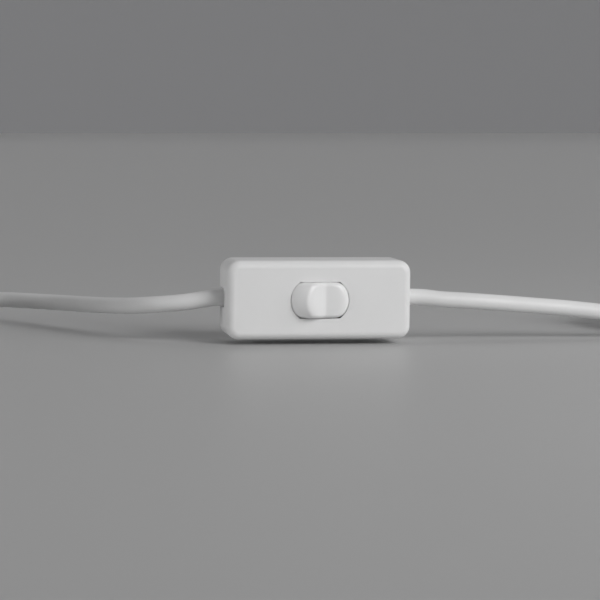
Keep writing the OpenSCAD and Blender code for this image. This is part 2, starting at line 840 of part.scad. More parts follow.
module live_core(side) {
  from = [side * sheath_end_x, part_y, mid_z + core_r + grip_gap];
  to = [side * terminal_out_x, live_hole_y, live_z];
  color("#7a4a2a") tube(eased_line(from, to, 0, core_steps), core_r, core_sides);
}

module neutral_core(side) {
  from = [side * sheath_end_x, part_y, mid_z - core_r - grip_gap];
  to = [side * neutral_l / 2, neutral_hole_y, neutral_z];
  color("#2f5fa8") tube(eased_line(from, to, 0, core_steps), core_r, core_sides);
}

module left_live_core() live_core(-1);
module left_neutral_core() neutral_core(-1);
module right_live_core() live_core(1);
module right_neutral_core() neutral_core(1);

module stripped_conductors() {
  color("#b87545") for (flip = [0, 1]) mirror([flip, 0, 0]) {
    translate([terminal_out_x - conductor_l, live_hole_y, live_z]) bar_x(conductor_l, strand_r);
    translate([neutral_l / 2 - conductor_l, neutral_hole_y, neutral_z]) bar_x(conductor_l, strand_r);
  }
}

module left_cord() color("#ecebe7") tube(left_line, cord_r, cord_sides);
module right_cord() color("#ecebe7") tube(right_line, cord_r, cord_sides);
module left_coil() color("#ecebe7") tube(plug_coil_line, cord_r, coil_sides);
module right_coil() color("#ecebe7") tube(lamp_coil_line, cord_r, coil_sides);
module plug_lead() color("#ecebe7") tube(plug_lead_line, cord_r, cord_sides);
module right_tail() color("#ecebe7") tube(tail_line, cord_r, cord_sides);

// A strap round all the turns of a coil, at one angle
module coil_tie(at, inner, turns, angle) {
  near = inner - cord_r - tie_gap;
  far = inner + coil_pitch * turns / 2 + cord_r + tie_gap;
  high = coil_low + coil_pitch + cord_r + tie_gap;
  color("#3b3b3d") translate([at.x, at.y, 0]) rotate(angle) difference() {
    span([near - tie_t, -tie_w / 2, 0], [far + tie_t, tie_w / 2, high + tie_t]);
    span([near, -tie_w / 2 - cut, tie_t], [far, tie_w / 2 + cut, high]);
  }
}

module left_coil_tie() coil_tie(plug_coil_at, plug_coil_r, plug_coil_turns, plug_tie_angle);
module right_coil_tie() coil_tie(lamp_coil_at, lamp_coil_r, lamp_coil_turns, lamp_tie_angle);

// The plug's own frame: its axis runs from the cord to the pins
module at_plug() translate(plug_lead_end) rotate(-90) children();

module plug_strain_relief() {
  color("#ecebe7") at_plug() rotate([0, 90, 0])
    cylinder(h = relief_l, r1 = relief_small_r, r2 = relief_big_r);
}

// The plug's outline from above, cut by its thickness seen from the side
module plug_body() {
  half = plug_w / 2;
  thick = plug_t / 2;
  cheek = plug_shoulder + plug_cheek;
  color("#f1f1ee") at_plug() translate([relief_l, 0, 0]) difference() {
    intersection() {
      translate([0, 0, -plug_t]) linear_extrude(2 * plug_t)
        polygon([
          [0, -plug_neck], [plug_shoulder, plug_slope - half], [cheek, -half], [plug_l, -half],
          [plug_l, half], [cheek, half], [plug_shoulder, half - plug_slope], [0, plug_neck]
        ]);
      rotate([90, 0, 0]) translate([0, 0, -plug_w]) linear_extrude(2 * plug_w)
        polygon([
          [0, -relief_big_r], [plug_shoulder, -thick], [plug_l, -thick],
          [plug_l, thick], [plug_shoulder, thick], [0, relief_big_r]
        ]);
    }
    for (side = [-1, 1])
      translate([plug_l - pin_hold_l, side * pin_spacing / 2, 0])
        bar_x(pin_hold_l + cut, pin_core_r + pin_fit_gap);
  }
}

module at_pins() {
  at_plug() for (side = [-1, 1])
    translate([relief_l + plug_l, side * pin_spacing / 2, 0]) children();
}

module plug_pins() {
  color("#c9cbce") at_pins() {
    translate([-pin_hold_l, 0, 0]) bar_x(pin_hold_l + sleeve_l, pin_core_r);
    translate([sleeve_l, 0, 0]) bar_x(pin_bare_l - pin_point, pin_r);
    translate([pin_l - pin_point, 0, 0]) rotate([0, 90, 0])
      cylinder(h = pin_point, r1 = pin_r, r2 = pin_r - pin_point);
  }
}

module plug_pin_sleeves() {
  color("#2b2b2d") at_pins() difference() {
    bar_x(sleeve_l, sleeve_r);
    translate([-cut, 0, 0]) bar_x(sleeve_l + 2 * cut, pin_core_r + pin_fit_gap);
  }
}

// The lamp side's bare end: two cores that part, each in a ferrule
function tail_core_line(side) =
  eased_line(
    tail_end + [side * (core_r + grip_gap), 0, 0],
    [tail_end.x + side * tail_spread, tail_end.y + tail_core_l, ferrule_z], 1, tail_core_steps
  );

module tail_live_core() color("#7a4a2a") tube(tail_core_line(-1), core_r, core_sides);
module tail_neutral_core() color("#2f5fa8") tube(tail_core_line(1), core_r, core_sides);

module tail_ferrules() {
  color("#c9cbce") for (side = [-1, 1])
    translate([tail_end.x + side * tail_spread, tail_end.y + tail_core_l, ferrule_z]) {
      bar_y(collar_l, collar_r);
      translate([0, collar_l, 0]) bar_y(ferrule_l, ferrule_r);
    }
}

front_shell();
back_shell();
housing_screws();
rocker();
plunger();
plunger_spring();
contact_lever();
moving_contact();
lever_pin();
live_in_terminal();
live_out_terminal();
fixed_contact();
neutral_link();
terminal_screws();
left_cord_grip();
right_cord_grip();
cord_grip_screws();
left_sheath_end();
right_sheath_end();
left_live_core();
left_neutral_core();
right_live_core();
right_neutral_core();
stripped_conductors();
left_cord();
left_coil();
left_coil_tie();
plug_lead();
plug_strain_relief();
plug_body();
plug_pins();
plug_pin_sleeves();
right_cord();
right_coil();
right_coil_tie();
right_tail();
tail_live_core();
tail_neutral_core();
tail_ferrules();
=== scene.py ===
"""Looks of an in-line cord switch: a white rocker switch in the middle of a lamp's lead.

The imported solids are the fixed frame. Each class below dresses one sub-assembly of them, in metres
and in the same frame: the two cords with their coils, the housing, the rocker, the contacts inside,
the cords' entries, the mains plug and the lamp end.
"""

import logging
import math
from dataclasses import dataclass
from enum import Enum
from functools import partial
from typing import Any, Callable, ClassVar, Iterable, Sequence

import bmesh
import bpy
from mathutils import Matrix, Vector


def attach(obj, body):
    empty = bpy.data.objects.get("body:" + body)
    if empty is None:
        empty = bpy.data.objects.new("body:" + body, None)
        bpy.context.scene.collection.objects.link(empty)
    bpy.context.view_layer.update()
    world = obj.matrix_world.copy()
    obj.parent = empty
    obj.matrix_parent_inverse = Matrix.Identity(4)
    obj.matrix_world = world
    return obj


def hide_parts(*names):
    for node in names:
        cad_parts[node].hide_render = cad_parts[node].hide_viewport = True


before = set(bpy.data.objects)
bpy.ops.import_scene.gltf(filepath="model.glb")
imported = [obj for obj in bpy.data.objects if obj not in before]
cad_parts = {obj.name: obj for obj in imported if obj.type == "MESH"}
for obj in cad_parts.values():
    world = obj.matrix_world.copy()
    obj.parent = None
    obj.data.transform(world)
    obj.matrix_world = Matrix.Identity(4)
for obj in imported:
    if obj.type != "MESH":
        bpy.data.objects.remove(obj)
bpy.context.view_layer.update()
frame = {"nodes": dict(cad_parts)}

LOG = logging.getLogger("cord_switch")
MM = 0.001
QUARTER = math.pi / 2
Point = tuple[float, float, float]
Sizes = dict[str, Any]
Thing = bpy.types.Object
Socket = bpy.types.NodeSocket
Add = Callable[..., Any]
Shape = Callable[[Add, Any], Socket]

# A copied solid: points that merge, slivers that go, and the angles of flat and of sharp edges.
MERGE_MM = 0.002
SLIVER_MM = 0.001
FLAT_DEG = 0.4
SHARP_DEG = 35.0
# Rounded edges: faces across the rounding, and normals that follow the broad faces alone.
EDGE_STEPS = 2
FULL_WEIGHT = 100
# Cores and sheath ends: a core's radius, the sides, the steps between points, and the rounding and
# the angle of the ends.
CORE_R = 1.05
WIRE_SIDES = 24
WIRE_STEPS = 3
WIRE_EDGE_MM = 0.12
WIRE_END_DEG = 60.0
# A core's line: its straight ends and the steps between them.
STRAIGHT_MM = 0.6
EASE_STEPS = 16


class Body(Enum):
    """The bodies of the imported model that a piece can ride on."""

    HOUSING = "housing"
    ROCKER = "rocker"
    LEVER = "contact_lever"


class Slot(Enum):
    """The record's material slots."""

    SHELL = "shell"
    ROCKER = "rocker"
    SHEATH = "sheath"
    PLUG = "plug"
    ACETAL = "acetal"
    GRIP = "grip"
    BLACK = "black_plastic"
    BROWN = "brown_core"
    BLUE = "blue_core"
    BRASS = "brass"
    STEEL = "steel"
    SILVER = "silver"
    COPPER = "copper"
    NICKEL = "nickel"
    TIN = "tin"


class Make(Enum):
    """How a surface was made: its grain's stretch along X, Y and Z, and the grain's detail."""

    MOULDED = ((1.0, 1.0, 1.0), 3.0)
    EXTRUDED = ((1.0, 1.0, 1.0), 1.0)
    ROLLED = ((0.08, 1.0, 1.0), 3.0)
    TURNED = ((1.0, 1.0, 0.12), 3.0)


def linear(hex_colour: str) -> tuple[float, float, float, float]:
    """Turns an sRGB hex colour to linear values.

    Args:
        hex_colour: Six hex digits after a hash sign.

    Returns:
        Red, green, blue and an alpha of one.
    """
    parts = [int(hex_colour[i:i + 2], 16) / 255 for i in (1, 3, 5)]
    red, green, blue = (
        c / 12.92 if c <= 0.04045 else ((c + 0.055) / 1.055) ** 2.4 for c in parts
    )
    return red, green, blue, 1.0


def add_node(
    tree: bpy.types.NodeTree,
    kind: str,
    inputs: dict[str | int, Any] | None = None,
    out: str | int = 0,
    **settings: Any,
) -> Socket | None:
    """Adds one node with its settings, its input values and its links.

    Args:
        tree: The node tree that gets the node.
        kind: Blender's name of the kind of node.
        inputs: For a socket's name or number, a value, the output that feeds it or several of them.
        out: Name or number of the output that is wanted.
        settings: The node's own properties.

    Returns:
        That output, or nothing if the node has no outputs.
    """
    made = tree.nodes.new(kind)
    for key, value in settings.items():
        setattr(made, key, value)
    for key, value in (inputs or {}).items():
        for source in value if isinstance(value, list) else [value]:
            if isinstance(source, Socket):
                tree.links.new(source, made.inputs[key])
            else:
                made.inputs[key].default_value = source
    return made.outputs[out] if len(made.outputs) else None


@dataclass(frozen=True)
class Finish:
    """A real material's finish, made of nodes on Object coordinates.

    The colour drifts between two near tones over a mottle of a given size, the grain of the making
    stands as a fine bump, and the roughness drifts with the mottle.
    """

    MOTTLE: ClassVar[Sizes] = {"Detail": 4.0, "Roughness": 0.6}
    DRIFT: ClassVar[Sizes] = {"From Min": 0.3, "From Max": 0.7}
    GRAIN_ROUGH: ClassVar[float] = 0.5

    name: str
    slot: Slot
    tone: str
    second_tone: str
    make: Make
    rough: tuple[float, float]
    mottle_mm: float
    grain_mm: float = 0.5
    grain_depth_mm: float = 0.01
    metallic: float = 0.0
    ior: float = 1.5

    def material(self) -> bpy.types.Material:
        """Gives the finish as a material, made once."""
        found = bpy.data.materials.get(self.name)
        return found if found is not None else self._build()

    def _build(self) -> bpy.types.Material:
        """Builds the node tree.

        Returns:
            The new material.
        """
        made = bpy.data.materials.new(self.name)
        made.use_nodes = True
        made.node_tree.nodes.clear()
        add = partial(add_node, made.node_tree)
        place = add("ShaderNodeTexCoord", out="Object")
        mottle = add(
            "ShaderNodeTexNoise", {"Vector": place, "Scale": 1 / (self.mottle_mm * MM), **self.MOTTLE}
        )
        colour = add(
            "ShaderNodeMix", {0: mottle, 6: linear(self.tone), 7: linear(self.second_tone)},
            out=2, data_type="RGBA",
        )
        rough = add(
            "ShaderNodeMapRange",
            {"Value": mottle, **self.DRIFT, "To Min": self.rough[0], "To Max": self.rough[1]},
        )
        stretch, detail = self.make.value
        stretched = add("ShaderNodeMapping", {"Vector": place, "Scale": stretch})
        grain = add(
            "ShaderNodeTexNoise",
            {"Vector": stretched, "Scale": 1 / (self.grain_mm * MM), "Detail": detail,
             "Roughness": self.GRAIN_ROUGH},
        )
        bump = add(
            "ShaderNodeBump",
            {"Strength": 1.0, "Distance": self.grain_depth_mm * MM, "Height": grain},
        )
        shader = add(
            "ShaderNodeBsdfPrincipled",
            {"Base Color": colour, "Roughness": rough, "Normal": bump, "Metallic": self.metallic,
             "IOR": self.ior},
        )
        add("ShaderNodeOutputMaterial", {"Surface": shader})
        return made


# ABS moulded in a spark-eroded tool: an even, faintly pebbled white with a soft satin highlight.
# The real pebbles are about 0.1 mm and are drawn at 0.45 mm so that they show.
WHITE_ABS = Finish(
    "white_abs_moulded", Slot.SHELL, "#EEEEEE", "#E9E9E9", Make.MOULDED, (0.36, 0.46),
    mottle_mm=14, grain_mm=0.45, grain_depth_mm=0.006, ior=1.53,
)
# The rocker is ABS from a polished tool: smoother and glossier than the housing.
WHITE_ABS_POLISHED = Finish(
    "white_abs_polished", Slot.ROCKER, "#F4F4F4", "#F1F1F1", Make.MOULDED, (0.27, 0.31),
    mottle_mm=9, grain_mm=0.6, grain_depth_mm=0.002, ior=1.53,
)
# Plasticised PVC extruded over the cores: slightly waxy, with soft waves along the lead.
WHITE_PVC = Finish(
    "white_pvc_extruded", Slot.SHEATH, "#EAEAEA", "#E3E3E3", Make.EXTRUDED, (0.38, 0.5),
    mottle_mm=11, grain_mm=1.6, grain_depth_mm=0.02, ior=1.52,
)
# The plug's PVC is moulded over the pins: matter than the lead.
MOULDED_PVC = Finish(
    "white_pvc_moulded", Slot.PLUG, "#EBEBEA", "#E4E4E3", Make.MOULDED, (0.42, 0.54),
    mottle_mm=12, grain_mm=0.5, grain_depth_mm=0.008, ior=1.52,
)
# Acetal, natural: creamy, waxy and slippery.
NATURAL_ACETAL = Finish(
    "acetal_natural", Slot.ACETAL, "#E3DFD0", "#D8D3C2", Make.MOULDED, (0.3, 0.38),
    mottle_mm=4, ior=1.48,
)
# Nylon for the grips: off-white with a dry surface.
NATURAL_NYLON = Finish(
    "nylon_natural", Slot.GRIP, "#E2E0D9", "#D6D3CA", Make.MOULDED, (0.45, 0.55),
    mottle_mm=5, ior=1.53,
)
# Black nylon strap: dark grey with a low sheen.
BLACK_NYLON = Finish(
    "nylon_black", Slot.BLACK, "#2F2F31", "#3B3B3E", Make.MOULDED, (0.42, 0.58),
    mottle_mm=3, grain_mm=0.4, grain_depth_mm=0.01, ior=1.53,
)
# Black PBT sleeves on the pins: smooth and dark.
BLACK_PBT = Finish(
    "pbt_black", Slot.BLACK, "#262628", "#303033", Make.MOULDED, (0.34, 0.44),
    mottle_mm=4, ior=1.55,
)
# Core insulation, brown for live and blue for neutral: glossy extruded PVC.
BROWN_PVC = Finish(
    "brown_pvc_extruded", Slot.BROWN, "#6B4027", "#7A4B30", Make.EXTRUDED, (0.3, 0.42),
    mottle_mm=4, ior=1.52,
)
BLUE_PVC = Finish(
    "blue_pvc_extruded", Slot.BLUE, "#2B5796", "#3564A6", Make.EXTRUDED, (0.3, 0.42),
    mottle_mm=4, ior=1.52,
)
# Brass strip, stamped: yellow, with rolling marks along its length and dull patches.
STAMPED_BRASS = Finish(
    "brass_stamped", Slot.BRASS, "#C6A052", "#B48C44", Make.ROLLED, (0.24, 0.42),
    mottle_mm=3, grain_mm=0.35, grain_depth_mm=0.006, metallic=1.0,
)
# Zinc-plated steel screws and pin: bluish grey with turning marks.
PLATED_STEEL = Finish(
    "steel_zinc_plated", Slot.STEEL, "#B4B8BD", "#9FA4AA", Make.TURNED, (0.26, 0.42),
    mottle_mm=2, grain_mm=0.25, grain_depth_mm=0.005, metallic=1.0,
)
# Spring wire, drawn: bright with a fine line along the wire.
SPRING_STEEL = Finish(
    "steel_spring_wire", Slot.STEEL, "#B9BBBE", "#A5A8AC", Make.TURNED, (0.2, 0.32),
    mottle_mm=2, grain_mm=0.3, grain_depth_mm=0.003, metallic=1.0,
)
# Silver contact faces: pale and slightly dull where they have switched.
CONTACT_SILVER = Finish(
    "silver_contact", Slot.SILVER, "#DCDCDA", "#C6C5C1", Make.TURNED, (0.22, 0.45),
    mottle_mm=1.2, grain_mm=0.3, grain_depth_mm=0.004, metallic=1.0,
)
# Bare stranded copper: warm, with the strands' twist as a coarse grain.
STRANDED_COPPER = Finish(
    "copper_stranded", Slot.COPPER, "#BC7A50", "#A86640", Make.ROLLED, (0.3, 0.46),
    mottle_mm=1.5, grain_mm=0.3, grain_depth_mm=0.02, metallic=1.0,
)
# Nickel-plated brass pins: warm grey mirror with drawing lines and faint insertion scratches.
NICKEL_PLATE = Finish(
    "nickel_plated", Slot.NICKEL, "#C8C6C1", "#B7B5B0", Make.TURNED, (0.16, 0.3),
    mottle_mm=3, grain_mm=0.3, grain_depth_mm=0.003, metallic=1.0,
)
# Tinned copper ferrules: soft white-grey metal.
TIN_PLATE = Finish(
    "tin_plated", Slot.TIN, "#C9CACB", "#B5B6B8", Make.TURNED, (0.3, 0.45),
    mottle_mm=2, grain_mm=0.3, grain_depth_mm=0.004, metallic=1.0,
)


def metres(sizes_mm: Iterable[float]) -> tuple[float, ...]:
    """Turns millimetres to metres."""
    return tuple(size * MM for size in sizes_mm)


def ease(t: float) -> float:
    """Eases from 0 to 1 as t goes from 0 to 1."""
    t = min(max(t, 0.0), 1.0)
    return t * t * (3 - 2 * t)


def link(name: str, data: bpy.types.ID) -> Thing:
    """Links a mesh, a curve, a lamp or a camera to the scene as an object at the origin.

    Args:
        name: The object's name.
        data: What the object shows.

    Returns:
        The object.
    """
    made = bpy.data.objects.new(name, data)
    bpy.context.scene.collection.objects.link(made)
    return made


def settle(piece: Thing) -> Thing:
    """Turns a piece's modifiers into a plain mesh.

    Args:
        piece: An object with modifiers.

    Returns:
        The same object, with the evaluated mesh and no modifiers.
    """
    graph = bpy.context.evaluated_depsgraph_get()
    mesh = bpy.data.meshes.new_from_object(piece.evaluated_get(graph))
    old = piece.data
    piece.modifiers.clear()
    piece.data = mesh
    mesh.name = piece.name
    bpy.data.meshes.remove(old)
    return piece


def dress(piece: Thing, finish: Finish, *nodes: str, body: Body = Body.HOUSING) -> Thing:
    """Gives a piece its finish, its body and the nodes that it stands for.

    Args:
        piece: The finished piece.
        finish: Its material.
        nodes: The CAD nodes that it replaces.
        body: The body that it rides on.

    Returns:
        The piece.
    """
    piece.data.materials.clear()
    piece.data.materials.append(finish.material())
    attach(piece, body.value)
    if nodes:
        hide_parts(*nodes)
    LOG.info("%s: %s on %s", piece.name, finish.name, body.value)
    return piece


def paint(node: str, finish: Finish) -> None:
    """Gives a CAD node that stays in view its finish.

    Args:
        node: The node's name.
        finish: Its material.
    """
    mesh = frame["nodes"][node].data
    mesh.materials.clear()
    mesh.materials.append(finish.material())
    LOG.info("%s: %s, the solid itself", node, finish.name)


def shade(piece: Thing, sharp: float | None = None) -> Thing:
    """Shades a piece smoothly, with normals that follow its broad faces.

    Args:
        piece: A mesh, with or without modifiers.
        sharp: Angle in degrees from which an edge stays sharp. None does without it.

    Returns:
        The piece, with no modifier left on it.
    """
    piece.data.shade_smooth()
    if sharp is not None:
        piece.data.set_sharp_from_angle(angle=math.radians(sharp))
    shading = piece.modifiers.new("shading", "WEIGHTED_NORMAL")
    shading.weight = FULL_WEIGHT
    shading.keep_sharp = sharp is not None
    return settle(piece)


def smooth_edges(piece: Thing, edge_mm: float, limit: float = 40.0) -> Thing:
    """Rounds a piece's sharp edges and shades it smoothly.

    Args:
        piece: A plain mesh.
        edge_mm: Width of the rounding.
        limit: Angle in degrees from which an edge is rounded.

    Returns:
        The piece, with no modifier left on it.
    """
    rounding = piece.modifiers.new("rounding", "BEVEL")
    rounding.width = edge_mm * MM
    rounding.segments = EDGE_STEPS
    rounding.limit_method = "ANGLE"
    rounding.angle_limit = math.radians(limit)
    return shade(piece)


def softened(node: str, name: str, edge_mm: float, segments: int = 3) -> Thing:
    """Copies a CAD node as one merged mesh and rounds its sharp edges.

    Args:
        node: The node to copy.
        name: The new piece's name.
        edge_mm: Width of the rounding.
        segments: Faces across the rounding.

    Returns:
        The new piece, with smooth shading.
    """
    source = frame["nodes"][node].data
    mesh = bpy.data.meshes.new(name)
    mesh.from_pydata(
        [v.co[:] for v in source.vertices], [], [p.vertices[:] for p in source.polygons]
    )
    made = bmesh.new()
    made.from_mesh(mesh)
    bmesh.ops.remove_doubles(made, verts=made.verts, dist=MERGE_MM * MM)
    bmesh.ops.dissolve_degenerate(made, edges=made.edges, dist=SLIVER_MM * MM)
    bmesh.ops.dissolve_limit(
        made, angle_limit=math.radians(FLAT_DEG), verts=made.verts, edges=made.edges
    )
    weight = made.edges.layers.float.new("bevel_weight_edge")
    for edge in made.edges:
        edge[weight] = float(edge.calc_face_angle(0.0) > math.radians(SHARP_DEG))
    made.to_mesh(mesh)
    made.free()
    piece = link(name, mesh)
    rounding = piece.modifiers.new("rounding", "BEVEL")
    rounding.width = edge_mm * MM
    rounding.segments = segments
    rounding.limit_method = "WEIGHT"
    rounding.miter_outer = "MITER_ARC"
    return shade(piece)


def loft(name: str, loops: Sequence[Sequence[Point]]) -> Thing:
    """Skins closed loops of equal length, one after the other, and closes both ends.

    Args:
        name: The mesh's name.
        loops: The loops' points in millimetres.

    Returns:
        The closed mesh as an object.
    """
    made = bmesh.new()
    rows = [[made.verts.new(Vector(point) * MM) for point in loop] for loop in loops]
    for low, high in zip(rows, rows[1:]):
        for i in range(len(low)):
            j = (i + 1) % len(low)
            made.faces.new((low[i], low[j], high[j], high[i]))
    made.faces.new(list(reversed(rows[0])))
    made.faces.new(rows[-1])
    bmesh.ops.recalc_face_normals(made, faces=made.faces)
    mesh = bpy.data.meshes.new(name)
    made.to_mesh(mesh)
    made.free()
    return link(name, mesh)


def grow(
    name: str, places: Sequence[Point], sizes: Sizes, finish: Finish, shape: Shape,
    joined: bool = False,
) -> Thing:
    """Makes a plain mesh with a Geometry Nodes tree that has named inputs.

    Args:
        name: The piece's name.
        places: Points in millimetres that the tree starts from.
        sizes: For each named input, its value: whole numbers, metres or three numbers.
        finish: The material that the tree sets.
        shape: Adds the tree's nodes and returns the geometry that they end in.
        joined: Whether the points are joined to a line.

    Returns:
        The piece, with no modifier left on it.
    """
    kinds = {int: "NodeSocketInt", float: "NodeSocketFloat", tuple: "NodeSocketVector"}
    tree = bpy.data.node_groups.new(name, "GeometryNodeTree")
    face = tree.interface
    face.new_socket("Geometry", in_out="INPUT", socket_type="NodeSocketGeometry")
    face.new_socket("Geometry", in_out="OUTPUT", socket_type="NodeSocketGeometry")
    sockets = {
        key: face.new_socket(key, in_out="INPUT", socket_type=kinds[type(value)])
        for key, value in sizes.items()
    }
    look = face.new_socket("Material", in_out="INPUT", socket_type="NodeSocketMaterial")
    add = partial(add_node, tree)
    given = add("NodeGroupInput").node.outputs
    real = add("GeometryNodeRealizeInstances", {"Geometry": shape(add, given)})
    dressed = add("GeometryNodeSetMaterial", {"Geometry": real, "Material": given["Material"]})
    add("NodeGroupOutput", {"Geometry": dressed})
    mesh = bpy.data.meshes.new(name)
    edges = [(i, i + 1) for i in range(len(places) - 1)] if joined else []
    mesh.from_pydata([Vector(point) * MM for point in places], edges, [])
    piece = link(name, mesh)
    nodes = piece.modifiers.new("shape", "NODES")
    nodes.node_group = tree
    for key, value in sizes.items():
        nodes[sockets[key].identifier] = value
    nodes[look.identifier] = finish.material()
    return settle(piece)


def ring_along(add: Add, line: Socket, radius: Socket, sides: int | Socket) -> Socket:
    """Adds the nodes that sweep a ring along a curve and close its ends."""
    ring = add("GeometryNodeCurvePrimitiveCircle", {"Resolution": sides, "Radius": radius})
    return add("GeometryNodeCurveToMesh", {"Curve": line, "Profile Curve": ring, "Fill Caps": True})


def wound(
    add: Add, radius: float | Socket, turns: Socket, height: Socket, wire_r: Socket,
    steps: int, sides: int,
) -> Socket:
    """Adds the nodes of a wire wound upwards from the origin.

    Args:
        add: Adds a node to the tree.
        radius: Radius that the wire is wound to.
        turns: Number of turns.
        height: Height of all the turns.
        wire_r: The wire's radius.
        steps: Steps in each turn.
        sides: The wire's number of sides.

    Returns:
        The wire as a mesh.
    """
    helix = add(
        "GeometryNodeCurveSpiral",
        {"Resolution": steps, "Rotations": turns, "Start Radius": radius, "End Radius": radius,
         "Height": height},
    )
    return ring_along(add, helix, wire_r, sides)


def rounded(add: Add, width: Socket, height: Socket, radius: Socket, steps: int) -> Socket:
    """Adds the nodes of a rectangle with rounded corners.

    Args:
        add: Adds a node to the tree.
        width: The rectangle's width.
        height: Its height.
        radius: The corners' radius.
        steps: Steps round each corner.

    Returns:
        The rectangle as a curve.
    """
    sharp = add("GeometryNodeCurvePrimitiveQuadrilateral", {"Width": width, "Height": height})
    corners = {"Curve": sharp, "Radius": radius, "Count": steps}
    return add("GeometryNodeFilletCurve", corners, mode="POLY")


def along_line(add: Add, given: Any) -> Socket:
    """Adds the nodes that sweep a ring along the start mesh's edges.

    Args:
        add: Adds a node to the tree.
        given: The group's inputs.

    Returns:
        The swept mesh.
    """
    line = add("GeometryNodeMeshToCurve", {"Mesh": given["Geometry"]})
    curve = add("GeometryNodeCurveSplineType", {"Curve": line}, spline_type="CATMULL_ROM")
    fine = add("GeometryNodeSetSplineResolution", {"Geometry": curve, "Resolution": given["Steps"]})
    return ring_along(add, fine, given["Radius"], given["Sides"])


def swept(name: str, line: Sequence[Point], radius_mm: float, finish: Finish) -> Thing:
    """Grows a round, smooth piece of wire or sheath along a line.

    Args:
        name: The piece's name.
        line: The centreline in millimetres.
        radius_mm: The radius.
        finish: Its material.

    Returns:
        The piece as a closed mesh.
    """
    sizes: Sizes = {"Radius": radius_mm * MM, "Sides": WIRE_SIDES, "Steps": WIRE_STEPS}
    made = grow(name, line, sizes, finish, along_line, joined=True)
    return smooth_edges(made, WIRE_EDGE_MM, limit=WIRE_END_DEG)


def eased_line(start: Point, end: Point, along: int) -> list[Point]:
    """Gives a line that runs along one axis, straight at both ends, and eases across the others.

    Args:
        start: First point in millimetres.
        end: Last point.
        along: Number of the axis that it runs along.

    Returns:
        The points, as the source draws its cores.
    """
    lead = math.copysign(STRAIGHT_MM, end[along] - start[along])
    first = [c + lead * (i == along) for i, c in enumerate(start)]
    last = [c - lead * (i == along) for i, c in enumerate(end)]
    middle = []
    for k in range(EASE_STEPS + 1):
        t = k / EASE_STEPS
        middle.append(tuple(
            a + (b - a) * (t if i == along else ease(t))
            for i, (a, b) in enumerate(zip(first, last))
        ))
    return [start, *middle, end]


def lay_core(word: str, core: str, line: Sequence[Point], finish: Finish) -> Thing:
    """Grows one core along its line and dresses it."""
    wire = swept(word + "_" + core + "_wire", line, CORE_R, finish)
    return dress(wire, finish, word + "_" + core + "_core")


class Reach(Enum):
    """How far a lamp stands: a far one lights all alike, a near one fades across the switch."""

    FAR = "SUN"
    NEAR = "AREA"


@dataclass(frozen=True)
class Lamp:
    """A studio lamp that aims at the switch.

    A far lamp's power is in watts per square metre and its width in degrees, a near one's in watts
    and metres. A lamp that doesn't shine leaves no highlight.
    """

    name: str
    reach: Reach
    power: float
    width: float
    place_m: Point
    shines: bool = True


